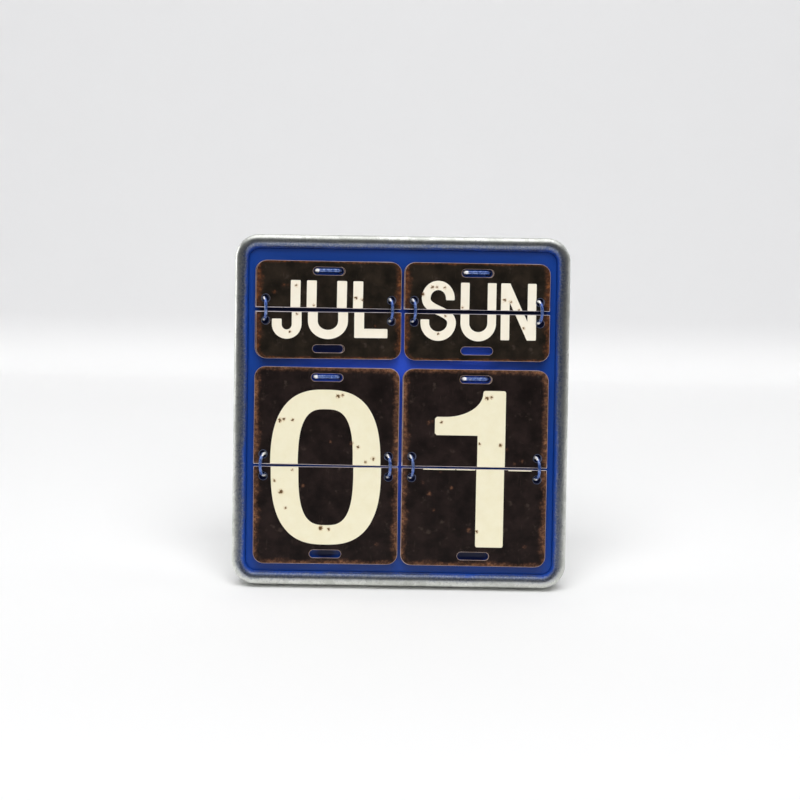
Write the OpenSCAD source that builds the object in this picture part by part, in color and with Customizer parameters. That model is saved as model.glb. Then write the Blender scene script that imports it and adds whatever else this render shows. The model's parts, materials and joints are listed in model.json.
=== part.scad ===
// Perpetual desk calendar: a pressed steel case with a blue panel, on which four packs of
// half-height flip plates turn over wire loops. The case leans back on a folding strut.
//
// The case, panel and plates are laid out on the calendar's own face: x runs to the right,
// y into the case from the crest of its front bead, and z up from its bottom edge. on_desk()
// then leans the face back and stands it on the desk, with the origin under its middle.

/* [Flip plates] */
// Width of every flip plate
plate_w = 74.8; // [60:0.2:90]
// Height of a month or weekday plate, which is half of its picture
month_h = 24.2; // [20:0.1:40]
// Height of a day plate, which is half of its figure
day_h = 50.35; // [36:0.05:60]
// Thickness of a flip plate
plate_t = 0.25; // [0.2:0.05:0.4]
// Radius of a plate's two outer corners
plate_corner_r = 5.5; // [1:0.5:8]
// Gap between the upper and lower plates of the months and weekdays
month_split = 1.9; // [0.6:0.1:3]
// Gap between the upper and lower plates of the days
day_split = 1.0; // [0.6:0.1:3]
// Free space between two plates of one pack
plate_gap = 0.05; // [0.03:0.01:0.15]
// Distance of a loop hole's centre from the plate's side edge
hole_inset = 5; // [4:0.1:8]

/* [Plate slots] */
// Width of the slot near a plate's outer edge, end to end
slot_w = 16.4; // [15.5:0.1:24]
// Height of that slot
slot_h = 4; // [3.6:0.1:4]
// Distance of the slot's middle from the plate's outer edge
slot_inset = 5.2; // [4:0.1:7]

/* [Wire] */
// Diameter of the loops' wire
loop_d = 1.6; // [1.2:0.1:2]
// Radius of a loop, which is half of the distance between its legs
loop_r = 5.5; // [5:0.1:7]
// Play between a loop's wire and a plate's hole, all round
loop_play = 1.3; // [1.2:0.05:1.5]
// Distance that the plates hang below the middle of their loops
hang_drop = 0.35; // [0.1:0.05:0.4]
// Distance of a loop's middle in front of the plates' hinge axis
loop_ahead = 0.5; // [0.4:0.05:0.6]
// Sideways lean of a loop, in degrees
loop_lean = 14; // [0:0.5:14]
// Diameter of the keepers' wire
keeper_d = 1.8; // [1.4:0.1:2]
// Width of a keeper over its legs
keeper_w = 13.8; // [10:0.1:14]
// Distance that a keeper stands out in front of the first plate
keeper_out = 1.6; // [0.5:0.1:2]
// Length of the clinched foot at the end of a loop's or keeper's leg
foot_len = 4; // [2:0.5:6]

/* [Layout] */
// Gap between the left and right columns of plates
column_gap = 1.7; // [1.4:0.1:8]
// Gap between the day plates and the month and weekday plates
row_gap = 4.4; // [1:0.1:12]
// Blue panel left showing at each side of the plates
side_margin = 3.85; // [1:0.05:12]
// Blue panel left showing above the plates
head_margin = 6.5; // [1:0.1:12]
// Blue panel left showing below the plates
foot_margin = 4.25; // [1:0.05:12]
// Free space between the deepest plate and the panel
panel_gap = 1.275; // [1.2:0.025:3]

/* [Case] */
// Radius of the half-round bead round the front of the case
bead_r = 3.5; // [2.5:0.1:3.6]
// Depth of the case from the crest of its bead to its back
case_d = 16; // [14:0.5:30]
// Outer radius of the case's corners
corner_r = 12.5; // [12:0.5:16]
// Thickness of the case's steel sheet
case_t = 0.6; // [0.4:0.1:0.8]
// Outer radius of the fold at the case's rear edge
fold_r = 1.2; // [1:0.1:2]
// Width of the lip folded in behind the back plate
lip_w = 4; // [2:0.5:6]
// Width of the ledge that carries the panel
ledge_w = 4; // [2:0.5:4]
// Thickness of the blue panel
panel_t = 0.6; // [0.4:0.1:1]
// Thickness of the back plate
back_t = 0.6; // [0.4:0.1:1]
// Diameter of the hanging hole in the back plate
hang_d = 6.5; // [4:0.5:10]
// Distance of the hanging hole below the top of the case
hang_inset = 20; // [14:1:40]

/* [Strut] */
// Angle that the face leans back by
lean = 9; // [4:0.5:14]
// Height of the strut's pin above the bottom edge of the case
pin_z = 100; // [80:1:120]
// Angle between the strut and the plumb line when it is open
strut_angle = 13.5; // [10:0.5:25]
// Width of the strut
strut_w = 34; // [31:1:60]
// Width of the strut's neck between the bracket's ears
neck_w = 28; // [20:1:30]
// Thickness of the strut's steel sheet
strut_t = 1.2; // [0.8:0.1:1.5]
// Height of the strut's folded side flanges, over the sheet
flange_h = 4; // [2:0.5:4.5]
// Radius of the ridge pressed along the strut
ridge_r = 2.4; // [2:0.1:3]
// Radius of the rolled edge that the strut stands on
foot_r = 1.6; // [1.4:0.1:2]
// Diameter of the hinge pin
pin_d = 3; // [2:0.5:3]
// Running clearance between the pin and its bores, all round
pin_play = 0.05; // [0.02:0.01:0.09]
// Wall of the strut's rolled knuckle round the pin
knuckle_wall = 1.15; // [1:0.05:1.3]
// Thickness of the pin's two heads
pin_head_t = 1.2; // [0.8:0.1:2]

/* [Bracket] */
// Distance of the pin's axis behind the back plate
pin_off = 6; // [5.5:0.1:8]
// Thickness of the bracket's steel sheet
bracket_t = 1; // [0.8:0.1:1.2]
// Height of the bracket's base
bracket_h = 16; // [14:1:24]
// Width that the bracket's base has outside each ear
wing_w = 8; // [7:0.5:14]
// Outer radius of the bracket's ears
ear_r = 4; // [3.5:0.1:5]
// Distance of a rivet above or below the pin's height
rivet_rise = 4.5; // [3:0.5:5]
// Diameter of the rivets' shanks
rivet_d = 2.4; // [2:0.1:3]
// Height of the rivets' heads
rivet_head_h = 1; // [0.8:0.1:1.2]

/* [Hidden] */
$fn = 64;

// Small clearances: between parts that lie against each other, and round a part in its seat
SEAT = 0.05;
FIT = 0.1;
// Room for a leg in its panel hole, all round, which its bend and its lean also take up
LEG_PLAY = 0.4;
// Overhang of the rivets' and pin's heads past their shanks, all round
HEAD_RIM = 1;
// Depth of the hinge axes behind the crest of the bead
AXIS_Y = 0.2;
// Leg position that centres a leaning loop in the holes of the plates
LEG_SHIFT = 1.35;
// Distance that the ridge stops short of the neck and of the rolled edge
RIDGE_END = 8;

// The four packs: how many pictures each shows, and which one it shows now
PACKS = ["month", "weekday", "tens", "units"];
PICTURES = [12, 7, 4, 10];
SHOWN = [7, 1, 1, 2];
UPPER_N = PICTURES - SHOWN + [1, 1, 1, 1];
LOWER_N = SHOWN;
SIDES = ["left", "right"];
// Side of the panel that each pack is on, and which way its left and right loops lean
PACK_SIDE = [-1, 1, -1, 1];
LEAN_SIGN = [[1, 1], [1, 1], [-1, 1], [1, 1]];
// How far the first upper and lower plate of each pack has slid sideways, and its skew in degrees
FIRST_SLIDE = [[0.35, 0.45], [0.35, 0.45], [-0.1, 0], [0.3, 0.3]];
FIRST_SKEW = [[-0.3, 0.3], [-0.15, 0.1], [-0.3, 0.25], [-0.1, -0.15]];
// Largest slide and skew of the plates behind the first
SLIDE = 0.1;
SKEW = 0.03;

pitch = plate_t + plate_gap;
hole_half = plate_w / 2 - hole_inset;
hole_r = loop_d / 2 + loop_play;
case_w = 4 * bead_r + 2 * side_margin + 2 * plate_w + column_gap;
months_h = 2 * month_h + month_split;
days_h = 2 * day_h + day_split;
case_h = 4 * bead_r + head_margin + foot_margin + days_h + row_gap + months_h;
column_x = (plate_w + column_gap) / 2;
day_z = 2 * bead_r + foot_margin + days_h / 2;
month_z = case_h - 2 * bead_r - head_margin - months_h / 2;
deepest = max(max(UPPER_N) - 1, max(LOWER_N));
panel_y = AXIS_Y + deepest * pitch + plate_t / 2 + panel_gap;
ledge_y = panel_y + panel_t + SEAT;
inner_r = corner_r - 2 * bead_r;
back_y = case_d - case_t - SEAT - back_t;
back_rear = back_y + back_t;

pin_y = back_rear + pin_off;
knuckle_r = pin_d / 2 + knuckle_wall;
bore_r = pin_d / 2 + pin_play;
ear_x = neck_w / 2 + FIT;
open_angle = strut_angle + lean;
foot_y = foot_r - knuckle_r;
tail_l = (pin_off - bracket_t - SEAT - knuckle_r * cos(open_angle)) / sin(open_angle);
rivet_x = ear_x + bracket_t + wing_w / 2 + HEAD_RIM / 2;

// Height of the pin and of the desk along the plumb line, both before on_desk() lifts the part
pin_plumb = pin_z * cos(lean) - pin_y * sin(lean);
desk_plumb = fold_r * cos(lean) - (case_d - fold_r) * sin(lean) - fold_r;
strut_l = (pin_plumb - desk_plumb - foot_r + foot_y * sin(strut_angle)) / cos(strut_angle);
front_most = bead_r * (cos(lean) + sin(lean)) - bead_r;
pin_rear = pin_y * cos(lean) + pin_z * sin(lean);
rear_most = pin_rear + strut_l * sin(strut_angle) + foot_y * cos(strut_angle) + foot_r;

function plate_names(g) = [
    for (k = [1:UPPER_N[g]]) str(PACKS[g], "_upper_", k),
    for (k = [1:LOWER_N[g]]) str(PACKS[g], "_lower_", k)
];

GALVANISED = "#b9bec2";
BLUE = "#1f3d86";
BLUE_WIRE = "#41599f";
PRINTED = "#2a211d";
STEEL = "#8f9396";

// ---- placing ----

// Leans the face back and stands it on the desk, over the origin
module on_desk() {
    translate([0, -(front_most + rear_most) / 2, -desk_plumb]) rotate([-lean, 0, 0]) children();
}

// Gives a flat outline, drawn in x and z of the face, the thickness t from the depth y
module sheet(y, t) {
    translate([0, y, 0]) rotate([90, 0, 0]) mirror([0, 0, 1]) linear_extrude(t) children();
}

function axis_z(g) = g < 2 ? month_z : day_z;
function half_h(g) = g < 2 ? month_h : day_h;
function split(g) = g < 2 ? month_split : day_split;
function slot_z(g) = split(g) / 2 + half_h(g) - slot_inset;
function pack_x(g) = PACK_SIDE[g] * column_x;
// A spread of small values between -1 and 1, different for each plate behind the first
function spread(g, k) = sin(137.5 * k + 80 * g);

// ---- case ----

module ring(r, t) {
    difference() {
        circle(r);
        circle(r - t);
    }
}

// Section of the rim: x outwards from a corner's centre, y into the case
module rim_section() {
    translate([corner_r - bead_r, bead_r]) intersection() {
        ring(bead_r, case_t);
        translate([-bead_r, -bead_r]) square([2 * bead_r, bead_r]);
    }
    translate([corner_r - case_t, bead_r]) square([case_t, case_d - bead_r - fold_r]);
    translate([corner_r - fold_r, case_d - fold_r]) intersection() {
        ring(fold_r, case_t);
        square(fold_r);
    }
    translate([corner_r - fold_r - lip_w, case_d - case_t]) square([lip_w, case_t]);
    translate([inner_r, bead_r]) square([case_t, ledge_y + case_t - bead_r]);
    translate([inner_r - ledge_w, ledge_y]) square([ledge_w + case_t, case_t]);
}

module rim_corner(turn) {
    rotate([90, 0, 0]) rotate(turn) rotate_extrude(angle = 90) mirror([0, 1]) rim_section();
}

module frame() {
    cx = case_w / 2 - corner_r;
    top = case_h - corner_r;
    color(GALVANISED) on_desk() {
        translate([cx, 0, corner_r]) linear_extrude(top - corner_r) rim_section();
        mirror([1, 0, 0]) translate([cx, 0, corner_r]) linear_extrude(top - corner_r) rim_section();
        translate([cx, 0, top]) rotate([0, -90, 0]) linear_extrude(2 * cx) rim_section();
        translate([-cx, 0, corner_r]) rotate([0, 90, 0]) linear_extrude(2 * cx) rim_section();
        translate([cx, 0, top]) rim_corner(0);
        translate([-cx, 0, top]) rim_corner(90);
        translate([-cx, 0, corner_r]) rim_corner(180);
        translate([cx, 0, corner_r]) rim_corner(270);
    }
}

// A rectangle with round corners, standing on the middle of its lower side
module rounded(w, h, r) {
    translate([r - w / 2, 0]) square([w - 2 * r, h]);
    translate([-w / 2, r]) square([w, h - 2 * r]);
    for (x = [r - w / 2, w / 2 - r], z = [r, h - r]) translate([x, z]) circle(r);
}

module panel() {
    edge = 2 * bead_r + FIT;
    color(BLUE) on_desk() difference() {
        sheet(panel_y, panel_t) translate([0, edge])
            rounded(case_w - 2 * edge, case_h - 2 * edge, inner_r - FIT);
        for (g = [0:3], s = [0:1], z = [-loop_r, loop_r])
            translate([leg_x(g, s), 0, loop_z(g) + z]) panel_hole(loop_d);
        for (g = [0:3], x = keeper_half() * [-1, 1])
            translate([pack_x(g) + x, 0, keeper_z(g)]) panel_hole(keeper_d);
    }
}

module panel_hole(d) {
    translate([0, panel_y - 1, 0]) rotate([-90, 0, 0]) cylinder(d = d + 2 * LEG_PLAY, h = panel_t + 2);
}

module back_plate() {
    edge = fold_r + SEAT;
    color(GALVANISED) on_desk() difference() {
        sheet(back_y, back_t) translate([0, edge])
            rounded(case_w - 2 * edge, case_h - 2 * edge, corner_r - edge);
        translate([0, back_y - 1, case_h - hang_inset]) rotate([-90, 0, 0])
            cylinder(d = hang_d, h = back_t + 2);
        at_rivets() translate([0, 0, -1]) cylinder(d = rivet_d + 2 * SEAT, h = back_t + 2);
    }
}

// ---- loops and keepers ----

function loop_z(g) = axis_z(g) + hang_drop;
function leg_x(g, s) = pack_x(g) + (2 * s - 1) * hole_half - LEAN_SIGN[g][s] * LEG_SHIFT;
function keeper_z(g) = axis_z(g) + slot_z(g) + hang_drop;
function keeper_half() = (keeper_w - keeper_d) / 2;

// A quarter bend of wire in the x-y plane, from the angle a about its centre
module bend(d, a) {
    rotate(a) rotate_extrude(angle = 90) translate([d, 0]) circle(d / 2);
}

// The leg of a loop or keeper from the depth y, with its foot clinched outwards behind the panel.
// It runs into the case along y, and its foot along x.
module clinched_leg(d, y) {
    foot = panel_y + panel_t + SEAT + d / 2;
    translate([0, y, 0]) rotate([-90, 0, 0]) cylinder(d = d, h = foot - d - y);
    translate([d, foot - d, 0]) bend(d, 90);
    translate([d, foot, 0]) rotate([0, 90, 0]) cylinder(d = d, h = foot_len);
}

module loop(g, s) {
    arc_y = AXIS_Y - loop_ahead;
    color(BLUE_WIRE) on_desk() translate([leg_x(g, s), panel_y, loop_z(g)])
        rotate(LEAN_SIGN[g][s] * loop_lean) translate([0, -panel_y, 0]) rotate([0, 90, 0]) {
            translate([0, arc_y, 0]) rotate(180) rotate_extrude(angle = 180)
                translate([loop_r, 0]) circle(loop_d / 2);
            for (m = [0, 1]) mirror([m, 0, 0])
                translate([loop_r, 0, 0]) clinched_leg(loop_d, arc_y);
        }
}

module keeper(g) {
    bar_y = AXIS_Y - plate_t / 2 - keeper_out + keeper_d / 2;
    color(BLUE_WIRE) on_desk() translate([pack_x(g), 0, keeper_z(g)]) {
        translate([-keeper_half() + keeper_d, bar_y, 0]) rotate([0, 90, 0])
            cylinder(d = keeper_d, h = 2 * (keeper_half() - keeper_d));
        for (m = [0, 1]) mirror([m, 0, 0]) {
            translate([keeper_half() - keeper_d, bar_y + keeper_d, 0]) bend(keeper_d, -90);
            translate([keeper_half(), 0, 0]) clinched_leg(keeper_d, bar_y + keeper_d);
        }
    }
}

// ---- flip plates ----

// Outline of an upper plate, seen from the front, from its hinge axis
module plate_outline(g) {
    h = half_h(g);
    r = plate_corner_r;
    difference() {
        translate([0, split(g) / 2]) {
            translate([-plate_w / 2, 0]) square([plate_w, h - r]);
            translate([r - plate_w / 2, 0]) square([plate_w - 2 * r, h]);
            for (x = (plate_w / 2 - r) * [-1, 1]) translate([x, h - r]) circle(r);
        }
        for (x = hole_half * [-1, 1]) translate([x, loop_r]) circle(hole_r);
        translate([-(slot_w - slot_h) / 2, slot_z(g) - slot_h / 2]) square([slot_w - slot_h, slot_h]);
        for (x = (slot_w - slot_h) / 2 * [-1, 1]) translate([x, slot_z(g)]) circle(slot_h / 2);
    }
}

// Plate k of pack g, counted from the front: up is 1 for the standing plates and 0 for the hanging ones
module flip_plate(g, k, up) {
    first = k == 1;
    slide = first ? FIRST_SLIDE[g][1 - up] : SLIDE * spread(g, k);
    skew = first ? FIRST_SKEW[g][1 - up] : SKEW * spread(g, k + 1);
    layer = k - up;
    color(PRINTED) on_desk() translate([pack_x(g) + slide, 0, axis_z(g)]) rotate([0, -skew, 0])
        sheet(AXIS_Y + layer * pitch - plate_t / 2, plate_t) mirror([0, 1 - up]) plate_outline(g);
}

// ---- bracket and strut ----

// Places its children at the four rivets, with z pointing out of the back plate
module at_rivets() {
    for (i = [1:4]) at_rivet(i) children();
}

module at_rivet(i) {
    x = i % 2 == 1 ? -rivet_x : rivet_x;
    z = i < 3 ? -rivet_rise : rivet_rise;
    translate([x, back_y, pin_z + z]) rotate([-90, 0, 0]) children();
}

module bracket() {
    half = ear_x + bracket_t + wing_w;
    color(STEEL) on_desk() difference() {
        union() {
            translate([0, back_rear, pin_z - bracket_h / 2]) translate([-half, SEAT, 0])
                cube([2 * half, bracket_t, bracket_h]);
            for (m = [0, 1]) mirror([m, 0, 0]) translate([ear_x, back_rear + SEAT, pin_z]) {
                translate([0, 0, -ear_r]) cube([bracket_t, pin_off - SEAT, 2 * ear_r]);
                translate([0, pin_off - SEAT, 0]) rotate([0, 90, 0]) cylinder(r = ear_r, h = bracket_t);
            }
        }
        translate([-half, pin_y, pin_z]) rotate([0, 90, 0]) cylinder(r = bore_r, h = 2 * half);
        at_rivets() cylinder(d = rivet_d + 2 * SEAT, h = back_t + bracket_t + 1);
    }
}

module hinge_pin() {
    reach = ear_x + bracket_t + SEAT;
    color(STEEL) on_desk() translate([0, pin_y, pin_z]) rotate([0, 90, 0]) {
        translate([0, 0, -reach]) cylinder(d = pin_d, h = 2 * reach);
        for (m = [0, 1]) mirror([0, 0, m]) translate([0, 0, reach])
            cylinder(d = pin_d + 2 * HEAD_RIM, h = pin_head_t);
    }
}

// One rivet: its shank, its set head inside the case and its round head on the bracket
module rivet(i) {
    grip = back_t + bracket_t + 2 * SEAT;
    color(STEEL) on_desk() at_rivet(i) {
        translate([0, 0, -SEAT]) cylinder(d = rivet_d, h = grip + SEAT);
        translate([0, 0, -SEAT - rivet_head_h / 2])
            cylinder(d = rivet_d + 2 * HEAD_RIM, h = rivet_head_h / 2);
        translate([0, 0, grip]) rivet_dome();
    }
}

// A round head: the cap of a sphere, as wide as the set head
module rivet_dome() {
    w = rivet_d / 2 + HEAD_RIM;
    ball_r = (w * w + rivet_head_h * rivet_head_h) / (2 * rivet_head_h);
    intersection() {
        translate([0, 0, rivet_head_h - ball_r]) sphere(ball_r);
        cylinder(r = w, h = rivet_head_h);
    }
}

module strut() {
    neck = ear_r + 2;
    front = -knuckle_r;
    color(STEEL) on_desk() translate([0, pin_y, pin_z]) rotate([open_angle, 0, 0]) difference() {
        union() {
            rotate([0, 90, 0]) cylinder(r = knuckle_r, h = neck_w, center = true);
            translate([-neck_w / 2, front, -neck]) cube([neck_w, strut_t, neck + tail_l]);
            translate([-strut_w / 2, front, -strut_l]) cube([strut_w, strut_t, strut_l - neck]);
            for (m = [0, 1]) mirror([m, 0, 0])
                translate([strut_w / 2 - strut_t, front, -strut_l + RIDGE_END])
                    cube([strut_t, flange_h, strut_l - neck - RIDGE_END]);
            translate([0, foot_y, -strut_l]) rotate([0, 90, 0])
                cylinder(r = foot_r, h = strut_w, center = true);
            intersection() {
                ridge(ridge_r);
                translate([-strut_w / 2, front, -strut_l]) cube([strut_w, 2 * ridge_r, strut_l]);
            }
        }
        rotate([0, 90, 0]) cylinder(r = bore_r, h = neck_w + 2, center = true);
        ridge(ridge_r - strut_t);
    }
}

// The round bar with ball ends that shapes the strut's pressed ridge
module ridge(r) {
    top = -ear_r - 2 - RIDGE_END;
    bottom = -strut_l + 2 * RIDGE_END;
    translate([0, -knuckle_r, bottom]) cylinder(r = r, h = top - bottom);
    for (z = [bottom, top]) translate([0, -knuckle_r, z]) sphere(r);
}

// ---- assembly ----

frame();
panel();
back_plate();
bracket();
hinge_pin();
strut();
for (i = [1:4]) rivet(i);
for (g = [0:3], s = [0:1])
    loop(g, s);
for (g = [0:3]) keeper(g);
for (g = [0:3], k = [1:UPPER_N[g]])
    flip_plate(g, k, 1);
for (g = [0:3], k = [1:LOWER_N[g]])
    flip_plate(g, k, 0);
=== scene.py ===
"""Looks of the perpetual desk calendar: case rim, enamelled panel, wires, printed flip plates and strut.

Every shape is worked out in millimetres on the calendar's own face: x runs to the right, y into the case
from the crest of its front bead, and z up from the case's bottom edge. FacePlane.to_row leans a shape back
onto the desk and turns it to metres.
"""

import json
import logging
import math
from collections.abc import Callable, Sequence
from dataclasses import dataclass, field
from enum import Enum
from functools import partial

import bmesh
import bpy
import numpy as np
from mathutils import Matrix, Vector
from mathutils.geometry import delaunay_2d_cdt


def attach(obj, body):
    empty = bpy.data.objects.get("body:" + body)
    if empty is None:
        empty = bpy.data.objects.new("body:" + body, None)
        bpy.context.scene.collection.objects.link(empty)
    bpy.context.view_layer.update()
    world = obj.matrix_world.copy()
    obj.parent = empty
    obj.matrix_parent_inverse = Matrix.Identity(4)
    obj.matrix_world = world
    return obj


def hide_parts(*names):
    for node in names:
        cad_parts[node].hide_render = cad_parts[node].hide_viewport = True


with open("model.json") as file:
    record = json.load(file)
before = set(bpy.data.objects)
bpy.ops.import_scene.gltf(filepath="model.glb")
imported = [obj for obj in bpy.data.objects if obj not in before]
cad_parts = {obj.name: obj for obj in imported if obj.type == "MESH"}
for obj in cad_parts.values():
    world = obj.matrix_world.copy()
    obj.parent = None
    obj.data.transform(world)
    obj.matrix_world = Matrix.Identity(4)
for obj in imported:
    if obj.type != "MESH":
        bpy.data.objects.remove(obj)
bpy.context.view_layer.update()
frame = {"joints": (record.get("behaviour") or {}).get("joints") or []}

LOG = logging.getLogger("calendar")

MM = 0.001
PRINT_SCALE = 0.01  # a millimetre of the print in its UV map, which has the picture's middle at 0.5
PIN_Y, PIN_Z = 21.35, 100.0  # axis of the strut's pin
PANEL_Y = 4.0  # front of the blue panel
BACK_Y = 14.75  # front of the back plate
PACK_X = 38.25  # middle of a pack, left and right of the case's middle
HOLE_X, HOLE_Z = 32.4, 5.5  # loop holes, from the pack's middle and from its hinge axis
SLOT_INSET = 5.2  # a plate's slot, from its outer edge
USUAL = {"MapRange": {"interpolation_type": "SMOOTHSTEP"}, "Mix": {"data_type": "RGBA"}}  # per kind of node

Pair = tuple[float, float]
Triple = tuple[float, float, float]
Loop = np.ndarray
Stroke = list[Loop]
Material = bpy.types.Material
Socket = bpy.types.NodeSocket
Value = Socket | float | tuple[float, ...] | str
Look = dict[str, Value]
Nodes = Callable[..., Socket]


class Body(Enum):
    """The two bodies that aren't flip plates."""

    CASE = "case"
    STRUT = "strut"


class Half(Enum):
    """Which half of a picture a plate stands for, as the sign of its height over the hinge axis."""

    UPPER = 1
    LOWER = -1

    @property
    def other(self) -> "Half":
        """The half that shows once the plate has turned over."""
        return Half(-self.value)

    @property
    def word(self) -> str:
        """The half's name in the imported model."""
        return self.name.lower()


class Light(Enum):
    """What a lamp does: it lights the scene softly, or it is only mirrored in metal and gloss."""

    SOFT = "soft"
    MIRRORED = "mirrored"


# ---- placing ----


@dataclass(frozen=True)
class FacePlane:
    """Where the calendar's face stands on the desk: how far it leans back, and its lower edge's place."""

    lean: float
    shift_y: float
    shift_z: float

    @classmethod
    def through_pin(cls, lean: float, pin_y: float, pin_z: float) -> "FacePlane":
        """Finds the face from the strut's hinge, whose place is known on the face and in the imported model.

        Args:
            lean: the angle that the face leans back by, in radians.
            pin_y: depth of the pin's axis on the face, in millimetres.
            pin_z: height of the pin's axis on the face, in millimetres.

        Returns:
            The face plane.
        """
        hinge = next(j for j in frame["joints"] if j["name"] == "strut_fold")["pos_m"]
        cos, sin = math.cos(lean), math.sin(lean)
        return cls(
            lean,
            hinge[1] / MM - pin_y * cos - pin_z * sin,
            hinge[2] / MM + pin_y * sin - pin_z * cos,
        )

    def to_row(self, points: np.ndarray) -> np.ndarray:
        """Turns face points about x by the lean, lifts them onto the desk and scales them to metres.

        Args:
            points: an (n, 3) array in millimetres of the face.

        Returns:
            An (n, 3) array in metres of the row frame.
        """
        x, y, z = points.T
        cos, sin = math.cos(self.lean), math.sin(self.lean)
        leant = np.stack([x, y * cos + z * sin + self.shift_y, z * cos - y * sin + self.shift_z], 1)
        return leant * MM


FACE = FacePlane.through_pin(math.radians(9), PIN_Y, PIN_Z)


@dataclass(frozen=True)
class Placement:
    """A flat working plane on the face: its origin and its u, v and w directions."""

    origin: Triple
    u: Triple = (1.0, 0.0, 0.0)
    v: Triple = (0.0, 0.0, 1.0)
    w: Triple = (0.0, 1.0, 0.0)

    def place(self, flat: np.ndarray, height: np.ndarray | float) -> np.ndarray:
        """Gives origin + u*flat[0] + v*flat[1] + w*height for every point; a height may do for all."""
        heights = np.broadcast_to(np.asarray(height, float), (len(flat),))
        return np.array(self.origin) + flat @ np.array([self.u, self.v]) + np.outer(heights, self.w)


# ---- curves ----


def unit(vectors: np.ndarray) -> np.ndarray:
    """Each vector of the array divided by its length."""
    return vectors / np.linalg.norm(vectors, axis=-1, keepdims=True)


def superellipse(
    centre: Pair,
    half: Pair,
    power: float = 2.0,
    span: Pair = (0.0, 360.0),
    count: int = 25,
) -> np.ndarray:
    """Points where (|x|/a)^power + (|y|/b)^power = 1.

    They are x = a*cos(t)^(2/power) and y = b*sin(t)^(2/power), with the signs of the cosine and the sine.

    Args:
        centre: the curve's centre.
        half: its half width a and half height b.
        power: 2 for an ellipse, and more for a squarer curve.
        span: the first and last angle t in degrees.
        count: how many points.

    Returns:
        A (count, 2) array.
    """
    t = np.radians(np.linspace(span[0], span[1], count))
    wave = np.stack([np.cos(t), np.sin(t)], 1)
    return np.array(centre) + np.array(half) * np.sign(wave) * np.abs(wave) ** (2 / power)


def filleted(corners: np.ndarray, radii: np.ndarray, steps: int = 12) -> np.ndarray:
    """An open path through corner points, each rounded by an arc that touches both of its sides.

    With a half turn angle h at a corner, the arc starts radius*tan(h) before it, and its centre lies
    radius/cos(h) from the corner on the line that halves the angle.

    Args:
        corners: an (n, 3) array, ends included.
        radii: the n-2 radii of the inner corners.
        steps: how many spans each arc has.

    Returns:
        The path as an (m, 3) array.
    """
    ahead = unit(np.diff(corners, axis=0))
    path = [corners[:1]]
    for corner, come, leave, radius in zip(corners[1:-1], ahead[:-1], ahead[1:], radii):
        turn = math.acos(float(np.clip(come @ leave, -1, 1)))
        inward = unit(leave - come)
        centre = corner + inward * radius / math.cos(turn / 2)
        across = unit(come + leave)
        t = np.linspace(-turn / 2, turn / 2, steps + 1)[:, None]
        path.append(centre + radius * (np.sin(t) * across - np.cos(t) * inward))
    path.append(corners[-1:])
    joined = np.concatenate(path)
    fresh = np.r_[True, np.linalg.norm(np.diff(joined, axis=0), axis=1) > 1e-6]
    return joined[fresh]


@dataclass(frozen=True)
class Outline:
    """A closed outline with rounded corners, given anticlockwise."""

    corners: tuple[Pair, ...]
    radii: tuple[float, ...]
    steps: int = 10

    @classmethod
    def box(cls, low: Pair, high: Pair, radius: float, steps: int = 10) -> "Outline":
        """A rectangle between two corners with one radius all round; half its side gives a disc or a slot."""
        points = (low, (high[0], low[1]), high, (low[0], high[1]))
        return cls(points, (radius,) * 4, steps)

    @classmethod
    def disc(cls, x: float, z: float, radius: float, steps: int = 8) -> "Outline":
        """A circle."""
        return cls.box((x - radius, z - radius), (x + radius, z + radius), radius, steps)

    def ring(self, inset: float) -> np.ndarray:
        """The outline with every side moved inwards by inset.

        A corner moves along (n1+n2)/(1+n1.n2), where n1 and n2 are the inward normals of its sides. An
        outward corner's radius shrinks by the inset and an inward corner's grows by it.

        Args:
            inset: how far the sides move inwards, or outwards where it is negative.

        Returns:
            An (n, 2) array with as many points for every inset.
        """
        points = np.array(self.corners, float)
        leave = unit(np.roll(points, -1, 0) - points)
        come = np.roll(leave, 1, 0)
        inward = np.stack([-leave[:, 1], leave[:, 0]], 1)
        before = np.roll(inward, 1, 0)
        turn = np.arctan2(come[:, 0] * leave[:, 1] - come[:, 1] * leave[:, 0], (come * leave).sum(1))
        mitre = (inward + before) / (1 + (inward * before).sum(1))[:, None]
        side = np.sign(turn)
        radius = np.maximum(np.array(self.radii) - side * inset, 1e-3)
        centre = points + mitre * (inset + side * radius)[:, None]
        start = np.arctan2(-side * before[:, 1], -side * before[:, 0])
        angle = start[:, None] + turn[:, None] * np.linspace(0, 1, self.steps + 1)
        arcs = centre[:, None] + radius[:, None, None] * np.stack([np.cos(angle), np.sin(angle)], 2)
        return arcs.reshape(-1, 2)


def windings(spots: np.ndarray, loop: Loop) -> np.ndarray:
    """How often the loop goes round each spot.

    A side that crosses the spot's height upwards, with the spot on its left, counts one, and a side that
    crosses it downwards, with the spot on its right, counts minus one.

    Args:
        spots: an (n, 2) array.
        loop: an (m, 2) closed loop.

    Returns:
        n whole numbers.
    """
    a, b = loop, np.roll(loop, -1, 0)
    px, py = spots[:, :1], spots[:, 1:]
    left = (b[:, 0] - a[:, 0]) * (py - a[:, 1]) - (px - a[:, 0]) * (b[:, 1] - a[:, 1])
    up = (a[:, 1] <= py) & (b[:, 1] > py) & (left > 0)
    down = (a[:, 1] > py) & (b[:, 1] <= py) & (left < 0)
    return up.sum(1) - down.sum(1)


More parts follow.
